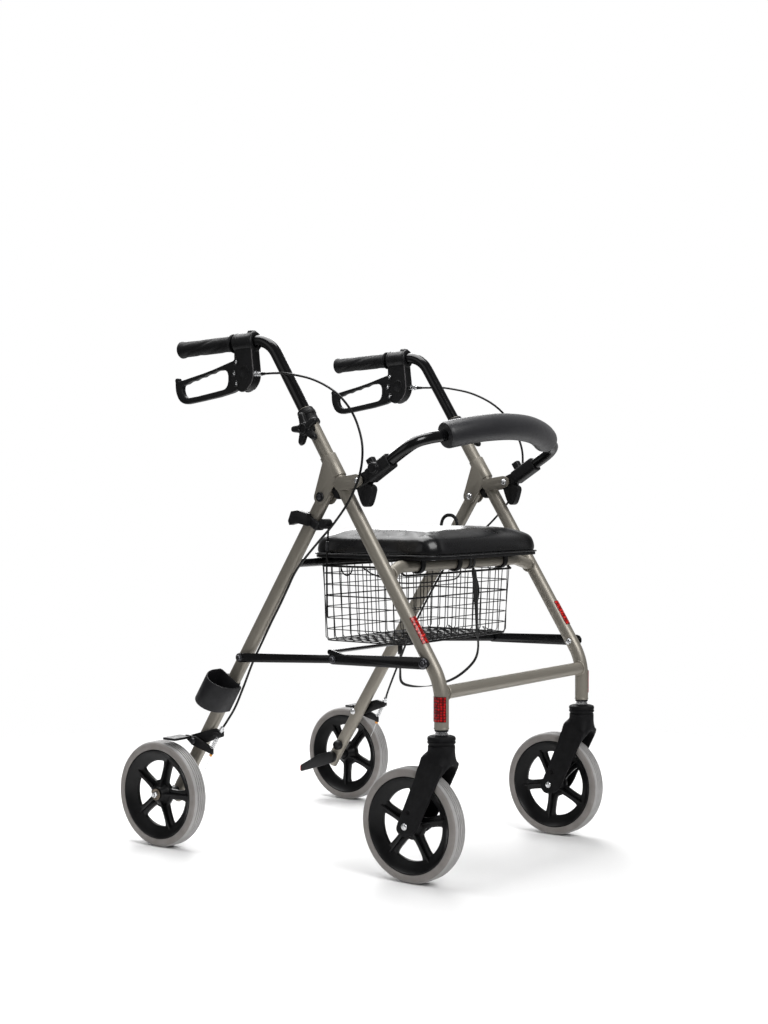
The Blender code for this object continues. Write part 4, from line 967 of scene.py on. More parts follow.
def grip_mesh(sign):
    """Soft grip with a flange, spiral grooves and a flared end."""
    x = sign * FRONT_X
    start = Vector(p3(x, grip_axis(0.4680)))
    end = Vector(p3(x, grip_axis(0.6030)))
    length = (end - start).length
    matrix = frame_at(start, end - start)
    shape = [(0.0, 0.0150), (0.0004, 0.0172), (0.0012, 0.0179), (0.0030, 0.0179), (0.0042, 0.0170),
             (0.0056, 0.0152)]
    body = [(0.0056 + (length - 0.0166) * k / 60, 0.0148) for k in range(1, 61)]
    tail = [(length - 0.0070, 0.0156), (length - 0.0040, 0.0163), (length - 0.0012, 0.0164),
            (length, 0.0156),
            (length, 0.0120), (length - 0.0012, 0.0100), (length - 0.0016, 0.0)]
    sides = 48
    bm = bmesh.new()
    rings = []
    for height, radius in shape + body + tail:
        if radius < 1e-6:
            rings.append([bm.verts.new(matrix @ Vector((0, 0, height)))])
            continue
        ring = []
        for k in range(sides):
            angle = 2 * pi * k / sides
            place = height / length
            inside = 0.10 < place < 0.92
            depth = 0.0
            if inside:
                wave = sin(4 * angle + height * 95.0)
                edge = min(1.0, (place - 0.10) * 14, (0.92 - place) * 14)
                depth = 0.0010 * max(0.0, wave - 0.45) * edge * 1.8
            reach = radius - depth
            ring.append(bm.verts.new(matrix @ Vector((reach * cos(angle), reach * sin(angle), height))))
        rings.append(ring)
    for low, high in zip(rings, rings[1:]):
        for k in range(sides):
            n = (k + 1) % sides
            corners = [low[k], low[n], high[n % len(high)], high[k % len(high)]]
            bm.faces.new(list(dict.fromkeys(corners)))
    bm.faces.new(list(reversed(rings[0])))
    bmesh.ops.recalc_face_normals(bm, faces=bm.faces)
    return mesh_of(bm, "grip", 50.0)


def housing(side, sign):
    x = sign * FRONT_X
    body_outline = [at(0.4630, 0.9600), at(0.4170, 0.9620), at(0.4185, 0.9460), at(0.4165, 0.9250),
                    at(0.4145, 0.9060), at(0.4135, 0.8950), at(0.4150, 0.8840), at(0.4205, 0.8740),
                    at(0.4290, 0.8655), at(0.4390, 0.8614), at(0.4485, 0.8620), at(0.4600, 0.8705),
                    at(0.4675, 0.8830), at(0.4685, 0.8960), at(0.4615, 0.9120), at(0.4620, 0.9350)]
    plate = outline_plate(softened(body_outline, 1), 0.0113, 0.0030, (), 3)
    front = Vector(p3(0.0, grip_axis(0.4150)))
    back = Vector(p3(0.0, grip_axis(0.4630)))
    saddle = moved(solid_rod(0.0172, (back - front).length, 0.0018, 40), frame_at(front, back - front))
    bands = []
    for y in (0.4155, 0.4565):
        base = Vector(p3(0.0, grip_axis(y)))
        bands.append(moved(solid_rod(0.0184, 0.0060, 0.0015, 40), frame_at(base, back - front)))
    screw_block = block((-0.0060, at(0.4190, 0)[0], 0.9640), (0.0060, at(0.4330, 0)[0], 0.9760), 0.0018)
    slot = [at(0.4800, 0.9330), at(0.4400, 0.9330), at(0.4250, 0.9200), at(0.4190, 0.9040),
            at(0.4185, 0.8900),
            at(0.4250, 0.8770), at(0.4340, 0.8690), at(0.4400, 0.8540), at(0.4800, 0.8540)]
    gap = outline_plate(slot, 0.0066, 0.0004)
    bore = sweep([Vector(p) - Vector((x, 0, 0)) for p in handle_path(sign)], circle(HANDLE_R + 0.0001, 32))
    shell = moulded([plate, saddle, screw_block, *bands], 0.0010, 2, [gap, bore])
    shell = moved(shell, Matrix.Translation((x, 0, 0)))
    piece(f"housing_shell_{side}", shell, PLASTIC, f"handle_{side}",
          (f"brake_housing_{side}",))
    discs, highlight_ribs = [], []
    for out in (-1.0, 1.0):
        disc = lathe([(0, 0), (0.0118, 0), (0.0124, 0.0004), (0.0118, 0.0010), (0.0108, 0.0011),
                      (0.0102, 0.0006),
                      (0, 0.0006)], 48, False)
        discs.append(moved(disc, frame_at((x + out * 0.0112, *LEVER_PIVOT), (out, 0, 0))))
        # Thin raised ribs down the front edge, their light colour a painted highlight.
        ridge = [(x + out * 0.0104, *at(y, z)) for y, z in
                 ((0.4172, 0.9560), (0.4190, 0.9440), (0.4170, 0.9230), (0.4150, 0.9060), (0.4144, 0.8950),
                  (0.4160, 0.8840), (0.4215, 0.8745), (0.4290, 0.8670))]
        highlight_ribs.append(sweep(spline_path(ridge, 24), circle(0.0012, 10)))
    piece(f"housing_trim_{side}", joined(discs, 50.0), PLASTIC, f"handle_{side}")
    piece(f"housing_highlight_rib_{side}", joined(highlight_ribs, 50.0), EDGE_HIGHLIGHT_RIB_PAINT, f"handle_{side}")
    bolts, rims = [], []
    for y, z in ((0.4555, 0.9180), (0.4600, 0.8965), (0.4545, 0.8775)):
        for out in (-1.0, 1.0):
            bolts.append(dome_head((x + out * 0.0112, *at(y, z)), (out, 0, 0), 0.0034, 0.0024))
            rim = lathe([(0.0040, 0), (0.0060, 0), (0.0060, 0.0022), (0.0052, 0.0030), (0.0040, 0.0022)], 28)
            rims.append(moved(rim, frame_at((x + out * 0.0104, *at(y, z)), (out, 0, 0))))
    piece(f"housing_rims_{side}", joined(rims), PLASTIC, f"handle_{side}")
    adjuster = lathe([(0, 0), (0.0042, 0), (0.0042, 0.0020), (0.0056, 0.0022), (0.0056, 0.0062),
                      (0.0044, 0.0064),
                      (0.0044, 0.0098), (0.0051, 0.0102), (0.0051, 0.0142), (0.0036, 0.0150),
                      (0.0036, 0.0200),
                      (0, 0.0200)], 12, False)
    start = (sign * 0.2500, *at(0.4160, 0.8950))
    bolts.append(moved(adjuster, frame_at(start, (0, -1, -0.07))))
    piece(f"housing_bolts_{side}", joined(bolts), ZINC, f"handle_{side}")
    screw = dome_head((x, *at(0.4260, 0.9758)), (0, 0, 1), 0.0034, 0.0008)
    piece(f"housing_screw_{side}", screw, DARK_STEEL, f"handle_{side}")


def lever(side, sign):
    x = sign * FRONT_X
    ball = arc(at(0.6128, 0.8898), 0.0048, -40, 200, 10)
    outer = [*ball, at(0.6040, 0.8885), at(0.5900, 0.8915), at(0.5300, 0.9040), at(0.4880, 0.9160),
             at(0.4600, 0.9240), at(0.4440, 0.9190), at(0.4280, 0.9080),
             at(0.4240, 0.8980), at(0.4270, 0.8880), at(0.4440, 0.8720), at(0.4800, 0.8580),
             at(0.5800, 0.8440),
             at(0.5940, 0.8440), at(0.6070, 0.8510), at(0.6150, 0.8660), at(0.6165, 0.8800)]
    inner = [at(0.5985, 0.8790), at(0.5920, 0.8815)]
    for wave in range(13):
        y = 0.5860 - 0.0072 * wave
        z = 0.8835 + 0.0225 * wave / 12
        inner.append(at(y, z - 0.0013 * cos(wave * 2 * pi / 3)))
    inner += [at(0.4900, 0.9055), at(0.4810, 0.8990), at(0.4810, 0.8790), at(0.4880, 0.8695),
              at(0.5000, 0.8670),
              at(0.5780, 0.8550), at(0.5920, 0.8575), at(0.5985, 0.8680)]
    bar = outline_plate(softened(outer, 1), 0.0058, 0.0022, [softened(inner, 1)], 3)
    piece(f"lever_loop_{side}", moved(bar, Matrix.Translation((x, 0, 0))), PLASTIC, f"brake_lever_{side}",
          (f"brake_lever_{side}",))


def knob_and_collar(side, sign):
    lower = Vector(p3(sign * FRONT_X, on_slope(0.796)))
    upper = Vector(p3(sign * FRONT_X, on_slope(0.824)))
    length = (upper - lower).length
    profile = [(0.0128, 0.0), (0.0158, 0.0), (0.0166, 0.0012), (0.0166, 0.0060), (0.0158, 0.0076),
               (0.0158, length - 0.0150), (0.0170, length - 0.0135), (0.0170, length - 0.0080),
               (0.0160, length - 0.0062), (0.0160, length - 0.0030), (0.0150, length - 0.0006),
               (0.0118, length), (0.0114, length - 0.002), (0.0114, length - 0.006),
               (0.0128, length - 0.007)]
    sleeve = moved(lathe(profile, 56), frame_at(lower, upper - lower))
    boss = moved(solid_rod(0.0112, 0.0086, 0.0012, 32),
                 frame_at((sign * (FRONT_X + 0.0095), *KNOB_CENTRE), (sign, 0, 0)))
    piece(f"collar_shell_{side}", joined([sleeve, boss]), PLASTIC, "front_frame",
          (f"height_collar_{side}",))
    start = FRONT_X + 0.0186
    lobes = []
    for lobe in range(5):
        angle = radians(72 * lobe)
        path = []
        for step in range(10):
            reach = 0.004 + 0.0274 * step / 9
            path.append((sign * (start + 0.0076 - 0.0006 * (step / 9) ** 2),
                         KNOB_CENTRE[0] + reach * cos(angle),
                         KNOB_CENTRE[1] + reach * sin(angle)))

        def section(place):
            end = sqrt(max(0.08, 1 - max(0.0, (place - 0.72) / 0.28) ** 2))
            return oval((0.0072 - 0.0008 * place) * end, (0.0080 - 0.0026 * place) * end, 2.8, 24)
        lobes.append(sweep(path, section, up=(1, 0, 0)))
    hub = moved(solid_rod(0.0122, 0.0152, 0.0014, 36),
                frame_at((sign * (start + 0.0001), *KNOB_CENTRE), (sign, 0, 0)))
    star = moulded([hub, *lobes], 0.0008, 2)
    ring = lathe([(0.0058, 0.0), (0.0098, 0.0), (0.0098, 0.0034), (0.0090, 0.0042), (0.0072, 0.0042),
                  (0.0062, 0.0030), (0.0058, 0.0020)], 44)
    face = moved(ring, frame_at((sign * (start + 0.0142), *KNOB_CENTRE), (sign, 0, 0)))
    piece(f"star_knob_shell_{side}", joined([star, face]), PLASTIC, f"star_knob_{side}",
          (f"star_knob_{side}",))


def handles():
    for side, sign in SIDES.items():
        rod = sweep(handle_path(sign), circle(HANDLE_R, 36))
        piece(f"handle_bar_{side}", rod, TUBE, f"handle_{side}", (f"handle_tube_{side}",))
        piece(f"grip_shell_{side}", grip_mesh(sign), GRIP_RUBBER, f"handle_{side}",
              (f"grip_{side}",))
        housing(side, sign)
        lever(side, sign)
        knob_and_collar(side, sign)


# ---------------------------------------------------------------- backrest
BACK_R = 0.4521
BACK_FRONT = (STEM_Y + 0.0071, 0.7947)
BACK_FALL = 0.5708
PAD_HALF = 0.172


def back_arc(x):
    y = BACK_FRONT[0] + BACK_R - sqrt(BACK_R ** 2 - x * x)
    return (x, y, BACK_FRONT[1] - BACK_FALL * (y - BACK_FRONT[0]))


def pad_section(place):
    """Round foam with softly cut ends and a slight swell."""
    end = min(place, 1 - place) / 0.016
    shrink = 1.0 if end >= 1 else 0.93 + 0.07 * sqrt(max(0.0, 1 - (1 - end) ** 2))
    swell = 1.0 + 0.006 * sin(place * pi * 7)
    return circle(0.0243 * shrink * swell, 64)


def backrest():
    arm = [(0.2440, *at(0.1480, 0.7049)), (0.2440, *at(0.119, 0.7233)), (0.2438, *at(0.0787, 0.7487)),
           (0.2340, *at(0.0600, 0.7625)), (0.2080, *at(0.0490, 0.7700))]
    curve = [back_arc(PAD_HALF * (1 - 2 * step / 8)) for step in range(9)]
    mirrored = [(-x, y, z) for x, y, z in reversed(arm)]
    bar = sweep(spline_path(arm + curve + mirrored, 150), circle(0.0105, 32))
    piece("backrest_bar", bar, TUBE, "backrest", ("backrest_tube",))
    path = [back_arc(-PAD_HALF + 2 * PAD_HALF * k / 120) for k in range(121)]
    pad = sweep(path, pad_section)
    cushion = piece("backrest_foam", pad, FOAM, "backrest", ("backrest_pad",))
    for side, sign in SIDES.items():
        x = sign * FRONT_X
        root = Vector(p3(x, at(0.1500, 0.7037)))
        tip = Vector(p3(x, at(0.1060, 0.7315)))
        sleeve = sweep([root.lerp(tip, k / 10) for k in range(11)], oval(0.0135, 0.0140, 4.0, 32))
        lug = moved(outline_plate(bar_outline(BACKREST_PIVOT, (root.y, root.z), 0.0108, 0.0108), 0.0108,
                                  0.0014),
                    Matrix.Translation((x, 0, 0)))
        stop_shape = [at(0.1790, 0.6920), at(0.1745, 0.6760), at(0.1645, 0.6500), at(0.1520, 0.6490),
                      at(0.1450, 0.6640), at(0.1390, 0.6900)]
        paddle = moved(outline_plate(softened(stop_shape, 2), 0.0088, 0.0014), Matrix.Translation((x, 0, 0)))
        ribs = [block((x - 0.0095, at(0.1560, 0)[0], 0.6600), (x + 0.0095, at(0.1585, 0)[0], 0.6880),
                      0.0006)]
        stem_low = Vector(p3(x, at(0.1380, 0.7120)))
        stem_high = Vector(p3(x, at(0.1518, 0.7346)))
        stem = sweep([stem_low.lerp(stem_high, k / 6) for k in range(7)], oval(0.0078, 0.0074, 4.0, 28))
        knuckle = moved(solid_rod(0.0098, 0.0205, 0.0012, 36),
                        frame_at(p3(x, at(0.1340, 0.7180)), (sign, 0, 0)))
        holder = moulded([sleeve, lug, paddle, stem, knuckle, *ribs], 0.0010, 2)
        ring = lathe([(0.0040, 0.0), (0.0078, 0.0), (0.0078, 0.0012), (0.0068, 0.0016), (0.0050, 0.0006),
                      (0.0040, 0.0004)], 36)
        face = moved(ring, frame_at((x + sign * 0.0202, *at(0.1340, 0.7180)), (sign, 0, 0)))
        piece(f"backrest_holder_{side}", joined([holder, face], 60.0), PLASTIC, "backrest",
              (f"backrest_bracket_{side}",))


# ---------------------------------------------------------------- seat
SEAT_HALF = 0.190
SEAT_FRONT = STEM_Y + 0.056
SEAT_REAR = STEM_Y + 0.336


def slab_mesh(half_x, y_low, y_high, z_low, z_high, corner, rows):
    """Rounded slab as closed rings; rows are (place in height, inset)."""
    centre = (y_low + y_high) / 2
    half_y = (y_high - y_low) / 2
    bm = bmesh.new()
    rings = []
    for place, inset in rows:
        z = z_low + (z_high - z_low) * place
        turn = min(corner + 0.9 * inset, half_y - inset - 0.001)
        loop = []
        for quadrant, (sx, sy) in enumerate(((1, 1), (-1, 1), (-1, -1), (1, -1))):
            spot = (sx * (half_x - inset - turn), centre + sy * (half_y - inset - turn))
            loop += arc(spot, turn, quadrant * 90, quadrant * 90 + 90, 8)
        rings.append([bm.verts.new((px, py, z)) for px, py in loop])
    count = len(rings[0])
    for low, high in zip(rings, rings[1:]):
        for k in range(count):
            n = (k + 1) % count
            bm.faces.new((low[k], low[n], high[n], high[k]))
    bm.faces.new(list(reversed(rings[0])))
    bm.faces.new(rings[-1])
    return mesh_of(bm, "slab")


def remeshed(mesh, voxel):
    obj = link(bpy.data.objects.new("voxels", mesh))
    change = obj.modifiers.new("remesh", "REMESH")
    change.mode = "VOXEL"
    change.voxel_size = voxel
    return bake(obj, 80.0)


def inflate(mesh, cap):
    """Blow the cushion up as cloth, its bottom held by the board."""
    obj = link(bpy.data.objects.new("cloth", mesh))
    group = obj.vertex_groups.new(name="held")
    low = min(v.co.z for v in mesh.vertices)
    held = [v.index for v in mesh.vertices if v.co.z < low + 0.0035]
    group.add(held, 1.0, "REPLACE")
    before = [v.co.copy() for v in mesh.vertices]
    cloth = obj.modifiers.new("cloth", "CLOTH")
    cloth.settings.vertex_group_mass = "held"
    cloth.settings.use_pressure = True
    cloth.settings.uniform_pressure_force = 4.0
    cloth.settings.effector_weights.gravity = 0.0
    cloth.settings.quality = 5
    cloth.settings.tension_stiffness = 20.0
    cloth.settings.bending_stiffness = 1.5
    cloth.point_cache.frame_start = 1
    cloth.point_cache.frame_end = 20
    for step in range(1, 21):
        bpy.context.scene.frame_set(step)
    graph = bpy.context.evaluated_depsgraph_get()
    swollen = bpy.data.meshes.new_from_object(obj.evaluated_get(graph), depsgraph=graph)
    for vert, rest in zip(swollen.vertices, before):
        shift = vert.co - rest
        if shift.length > cap:
            vert.co = rest + shift.normalized() * cap
    bpy.data.objects.remove(obj, do_unlink=True)
    bpy.context.scene.frame_set(1)
    return swollen


def cushion_shape(mesh):
    """Fit the swollen cover to its place: crown and corner puckers."""
    top = max(v.co.z for v in mesh.vertices)
    centre_y = (SEAT_FRONT + SEAT_REAR) / 2
    half_y = (SEAT_REAR - SEAT_FRONT) / 2
    for vert in mesh.vertices:
        co = vert.co
        u, v = co.x / SEAT_HALF, (co.y - centre_y) / half_y
        if co.z > 0.575:
            edge = max(abs(u), abs(v))
            if edge < 1.0:
                co.z += 0.0012 * noise.noise(Vector((co.x * 9, co.y * 9, 3.0)))
        corner = abs(u) * abs(v)
        if corner > 0.66 and co.z < 0.604:
            angle = atan2(co.y - centre_y - half_y * 0.80 * (1 if v > 0 else -1),
                          co.x - SEAT_HALF * 0.86 * (1 if u > 0 else -1))
            fold = sin(angle * 26.0) * 0.0012 * min(1.0, (corner - 0.66) * 8) * min(1.0,
                                                                                    (0.604 - co.z) / 0.010)
            out = Vector((co.x, co.y - centre_y, 0)).normalized()
            vert.co = co + out * fold
    for vert in mesh.vertices:
        vert.co.x = max(-SEAT_HALF, min(SEAT_HALF, vert.co.x))
        vert.co.y = max(SEAT_FRONT, min(SEAT_REAR, vert.co.y))
        if vert.co.z > 0.590:
            vert.co.z = 0.590 + (vert.co.z - 0.590) * min(1.0, 0.0220 / max(top - 0.590, 0.001))
        vert.co.z = max(0.5600, vert.co.z)
    return mesh


def seat():
    rows = [(0.0, 0.003), (0.05, 0.001), (0.30, 0.0), (0.56, 0.001), (0.72, 0.004), (0.84, 0.010),
            (0.92, 0.022),
            (0.97, 0.045), (1.0, 0.080)]
    slab = slab_mesh(SEAT_HALF - 0.002, SEAT_FRONT + 0.002, SEAT_REAR - 0.002, 0.5605, 0.6045, 0.030, rows)
    cover = cushion_shape(inflate(remeshed(slab, 0.0045), 0.005))
    obj = link(bpy.data.objects.new("cover", cover))
    soften = obj.modifiers.new("soften", "SMOOTH")
    soften.factor = 0.5
    soften.iterations = 14
    divide = obj.modifiers.new("divide", "SUBSURF")
    divide.levels = 1
    divide.render_levels = 1
    cushion = piece("seat_cover", bake(obj, 80.0), VINYL, "seat", ("seat_cushion",))
    welt = []
    corner, inset = 0.030, 0.0012
    for quadrant, (sx, sy) in enumerate(((1, 1), (-1, 1), (-1, -1), (1, -1))):
        centre = (sx * (SEAT_HALF - corner),
                  (SEAT_FRONT + SEAT_REAR) / 2 + sy * ((SEAT_REAR - SEAT_FRONT) / 2 - corner))
        welt += [(px, py, 0.5618) for px,
                 py in arc(centre, corner - inset - 0.0010, quadrant * 90, quadrant * 90 + 90, 10)]
    piece("seat_welt", sweep(welt, circle(0.0015, 10), loop=True, up=(0, 0, 1)), VINYL, "seat")
    from_cad("seat_board", BOARD, "seat", 0.0008, 40.0)
    staples = []
    for k in range(14):
        x = -0.165 + k * 0.0254
        staples.append(block((x - 0.005, SEAT_FRONT + 0.0135, 0.5541),
                             (x + 0.005, SEAT_FRONT + 0.0145, 0.5550), 0.0002, 1))
        staples.append(block((x - 0.005, SEAT_REAR - 0.0145, 0.5541),
                             (x + 0.005, SEAT_REAR - 0.0135, 0.5550), 0.0002, 1))
    piece("seat_staples", joined(staples), ZINC, "seat")
    loop = [(0.1890, STEM_Y + 0.2550, 0.5700), (0.1890, STEM_Y + 0.2550, 0.6000),
            (0.1900, STEM_Y + 0.2580, 0.6180),
            (0.1900, STEM_Y + 0.2660, 0.6265), (0.1900, STEM_Y + 0.2750, 0.6285),
            (0.1900, STEM_Y + 0.2840, 0.6265),
            (0.1900, STEM_Y + 0.2920, 0.6180), (0.1890, STEM_Y + 0.2950, 0.6000),
            (0.1890, STEM_Y + 0.2950, 0.5700)]
    path = spline_path(loop, 60)
    pull = sweep(path, oval(0.0036, 0.0014, 2.4, 16), up=(0, 1, 0))
    piece("seat_pull_loop", pull, TUBE, "seat")


# ---------------------------------------------------------------- basket
BASKET_TOP = 0.5390
BASKET_LOW = 0.4000


def basket_ring(z, inset, corner=0.018):
    half_x = 0.1796 - inset
    y_low, y_high = STEM_Y + 0.1204 + inset, STEM_Y + 0.3171 - inset
    centre, half_y = (y_low + y_high) / 2, (y_high - y_low) / 2
    loop = []
    for quadrant, (sx, sy) in enumerate(((1, 1), (-1, 1), (-1, -1), (1, -1))):
        spot = (sx * (half_x - corner), centre + sy * (half_y - corner))
        loop += [(px, py, z) for px, py in arc(spot, corner, quadrant * 90, quadrant * 90 + 90, 6)]
    return loop


def wire(path, radius, loop=False):
    return sweep(path, circle(radius, 8), loop=loop, up=(0.3, 0.5, 0.8))


def basket():
    lean = 0.0065
    wires = []
    front_top = 0.5260

    def level_inset(z):
        return lean * (BASKET_TOP - z) / (BASKET_TOP - BASKET_LOW)

    for row in range(7):
        z = BASKET_LOW + 0.0012 + (0.1240 * row / 6)
        thick = 0.0013 if row in (0, 4) else 0.0009
        wires.append(wire(basket_ring(z, level_inset(z)), thick, loop=True))
    y_low, y_high = STEM_Y + 0.1204, STEM_Y + 0.3171
    rim = [(x, y, z) for x, y, z in (
        (-0.1796, y_low + 0.0200, BASKET_TOP), (-0.1796, y_high - 0.010, BASKET_TOP),
        (-0.1696, y_high, BASKET_TOP), (0.1696, y_high, BASKET_TOP), (0.1796, y_high - 0.010, BASKET_TOP),
        (0.1796, y_low + 0.0200, BASKET_TOP), (0.1796, y_low + 0.0030, front_top),
                                     (0.1740, y_low, front_top),
        (-0.1740, y_low, front_top), (-0.1796, y_low + 0.0030, front_top))]
    rounded = softened(rim, 2, 0.2)
    wires.append(wire(rounded, 0.0021, loop=True))
    columns = 15
    for k in range(columns):
        x = -0.170 + 0.340 * k / (columns - 1)
        squeeze = 1 - lean / 0.18
        inner = lean + 0.0005
        path = [(x, y_low + 0.0008, front_top), (x * squeeze, y_low + inner, BASKET_LOW + 0.006),
                (x * squeeze, y_low + inner + 0.006, BASKET_LOW),
                (x * squeeze, y_high - inner - 0.006, BASKET_LOW),
                (x * squeeze, y_high - inner, BASKET_LOW + 0.006), (x, y_high - 0.0008, BASKET_TOP)]
        wires.append(wire(path, 0.0009))
    rows = 10
    for k in range(rows):
        y = y_low + 0.010 + (y_high - y_low - 0.020) * k / (rows - 1)
        top = front_top + 0.004 if k == 0 else BASKET_TOP
        inner = lean + 0.0005
        path = [(-0.1790, y, top), (-0.1796 + inner, y, BASKET_LOW + 0.0075),
                (-0.1736 + inner, y, BASKET_LOW + 0.0022),
                (0.1736 - inner, y, BASKET_LOW + 0.0022), (0.1796 - inner, y, BASKET_LOW + 0.0075),
                (0.1790, y, top)]
        wires.append(wire(path, 0.0009))
    for sign in (-1.0, 1.0):
        for y in (0.165, 0.255):
            hook = [(sign * 0.1780, STEM_Y + y - 0.014, BASKET_TOP),
                    (sign * 0.1770, STEM_Y + y - 0.009, 0.5270),
                    (sign * 0.1765, STEM_Y + y, 0.5225), (sign * 0.1770, STEM_Y + y + 0.009, 0.5270),
                    (sign * 0.1780, STEM_Y + y + 0.014, BASKET_TOP)]
            wires.append(wire(spline_path(hook, 20), 0.0013))
    bail = [(-0.1500, STEM_Y + 0.2200, 0.5260), (-0.1100, STEM_Y + 0.2000, 0.5100),
            (-0.0600, STEM_Y + 0.1900, 0.5050),
            (0.0600, STEM_Y + 0.1900, 0.5050), (0.1100, STEM_Y + 0.2000, 0.5100),
            (0.1500, STEM_Y + 0.2200, 0.5260)]
    wires.append(wire([(-0.1780, STEM_Y + 0.2200, BASKET_TOP)] + spline_path(bail, 30)
                      + [(0.1780, STEM_Y + 0.2200, BASKET_TOP)], 0.0014))
    for k in range(6):
        middle, height = -0.120 + 0.048 * k, 0.0120 + 0.0050 * sin(2.4 * k)
        y = STEM_Y + 0.150 + 0.016 * ((k * 2) % 5)
        bent = [(middle - 0.040, y, BASKET_LOW + 0.003), (middle - 0.018, y + 0.006, BASKET_LOW + height),
                (middle, y - 0.008, BASKET_LOW + 0.004),
                (middle + 0.016, y + 0.010, BASKET_LOW + height * 1.3),
                (middle + 0.036, y + 0.004, BASKET_LOW + 0.003)]
        wires.append(wire(spline_path(bent, 24), 0.0009))
    obj = piece("basket_wires", joined(wires, 60.0), WIRE, "front_frame", ("basket",))
    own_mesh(obj)


# ---------------------------------------------------------------- rear brakes and small black parts
def helix(start, end, radius, turns, steps=14):
    start, end = Vector(start), Vector(end)
    matrix = frame_at(start, end - start)
    length = (end - start).length
    count = turns * steps
    return [matrix @ Vector((radius * cos(2 * pi * k / steps), radius * sin(2 * pi * k / steps),
                             length * k / count)) for k in range(count + 1)]


def rear_brakes():
    for side, sign in SIDES.items():
        from_cad(f"brake_bracket_{side}", PLASTIC, "rear_frame", 0.0007, 35.0)
        from_cad(f"brake_arm_{side}", PLASTIC, f"brake_arm_{side}", 0.0006, 35.0)
        from_cad(f"curb_lever_{side}", PLASTIC, "rear_frame", 0.0012, 35.0)
        x = sign * 0.2600
        ferrule = lathe([(0, 0), (0.0034, 0), (0.0034, 0.0030), (0.0044, 0.0034), (0.0044, 0.0070),
                         (0.0034, 0.0074),
                         (0.0034, 0.0120), (0.0028, 0.0130), (0, 0.0130)], 12, False)
        stop_point = Vector((x, *at(0.4905, 0.2235)))
        up_cable = Vector((0, -0.45, 1.0))
        steel = [moved(ferrule, frame_at(stop_point, up_cable))]
        bolt = dome_head((sign * (REAR_LEG_X - 0.0094), *BRAKE_PIVOT), (-sign, 0, 0), 0.0056, 0.0030)
        steel.append(bolt)
        cap = cap_nut((sign * (REAR_LEG_X + 0.0214), *BRAKE_PIVOT), (sign, 0, 0), 0.0062, 0.0040)
        piece(f"brake_pivot_cap_{side}", cap, DARK_STEEL, "rear_frame")
        piece(f"brake_steel_{side}", joined(steel), ZINC, "rear_frame")
        nose = Vector((sign * 0.2630, *at(0.5100, 0.1915)))
        spring = sweep(helix(nose, (sign * 0.2620, *at(0.4965, 0.2150)), 0.0034, 9), circle(0.0006, 8))
        piece(f"brake_spring_{side}", spring, ZINC, "rear_frame")
        tip = moved(solid_rod(0.0030, 0.0050, 0.0008, 16),
                    frame_at((sign * 0.2632, *at(0.5135, 0.1765)), (0, -0.4, 1)))
        piece(f"cable_clamp_{side}", tip, AMBER, f"brake_arm_{side}")
        wire_end = [(sign * 0.2628, *at(0.5110, 0.1840)), (sign * 0.2630, *at(0.5160, 0.1720)),
                    (sign * 0.2636, *at(0.5230, 0.1570)), (sign * 0.2646, *at(0.5290, 0.1470))]
        piece(f"cable_tail_{side}", sweep(spline_path(wire_end, 14), circle(0.0006, 8)), ZINC,
              f"brake_arm_{side}")
        inside = sign * (REAR_LEG_X - 0.009)
        knob = cap_nut((inside + sign * 0.0004, *along(FOLD_PIVOT, REAR_AXLE, 0.640)), (-sign, 0, 0),
                       0.0105, 0.0110)
        piece(f"leg_end_knob_{side}", knob, PLASTIC, "rear_frame")
        red = block((inside - sign * 0.0140 if sign > 0 else inside + 0.0002, at(0.6896, 0)[0], 0.0622),
                    (inside - 0.0002 if sign > 0 else inside + 0.0140, at(0.6910, 0)[0], 0.0735), 0.0004)
        piece(f"curb_lever_face_{side}", red, RED_FACE, "rear_frame")
        outer = sign * (REAR_X + WHEEL_W / 2)
        washer = lathe([(0.0042, 0.0), (0.0100, 0.0), (0.0108, 0.0006), (0.0108, 0.0016), (0.0098, 0.0022),
                        (0.0080, 0.0016), (0.0042, 0.0016)], 40)
        washer = moved(washer, frame_at((outer + sign * 0.0001, *REAR_AXLE), (sign, 0, 0)))
        piece(f"rear_axle_washer_{side}", washer, BRONZE, "rear_frame")
        nut = []
        nut.append(moved(lathe([(0, 0.0014), (0.0064, 0.0014), (0.0064, 0.0056), (0.0054, 0.0068),
                                (0.0042, 0.0072),
                                (0.0040, 0.0098), (0, 0.0100)], 6, False),
                         frame_at((outer, *REAR_AXLE), (sign, 0, 0))))
        nut.append(moved(solid_rod(0.0040, 0.0520), frame_at((inside, *REAR_AXLE), (sign, 0, 0))))
        spacer = lathe([(0.0043, 0.0), (0.0084, 0.0), (0.0084, 0.0200), (0.0043, 0.0200)], 32)
        spacer = moved(spacer, frame_at((sign * (REAR_LEG_X + 0.0093), *REAR_AXLE), (sign, 0, 0)))
        piece(f"rear_axle_spacer_{side}", spacer, PLASTIC, "rear_frame")
        piece(f"rear_axle_nut_{side}", joined(nut), ZINC, "rear_frame", (f"rear_axle_{side}",))


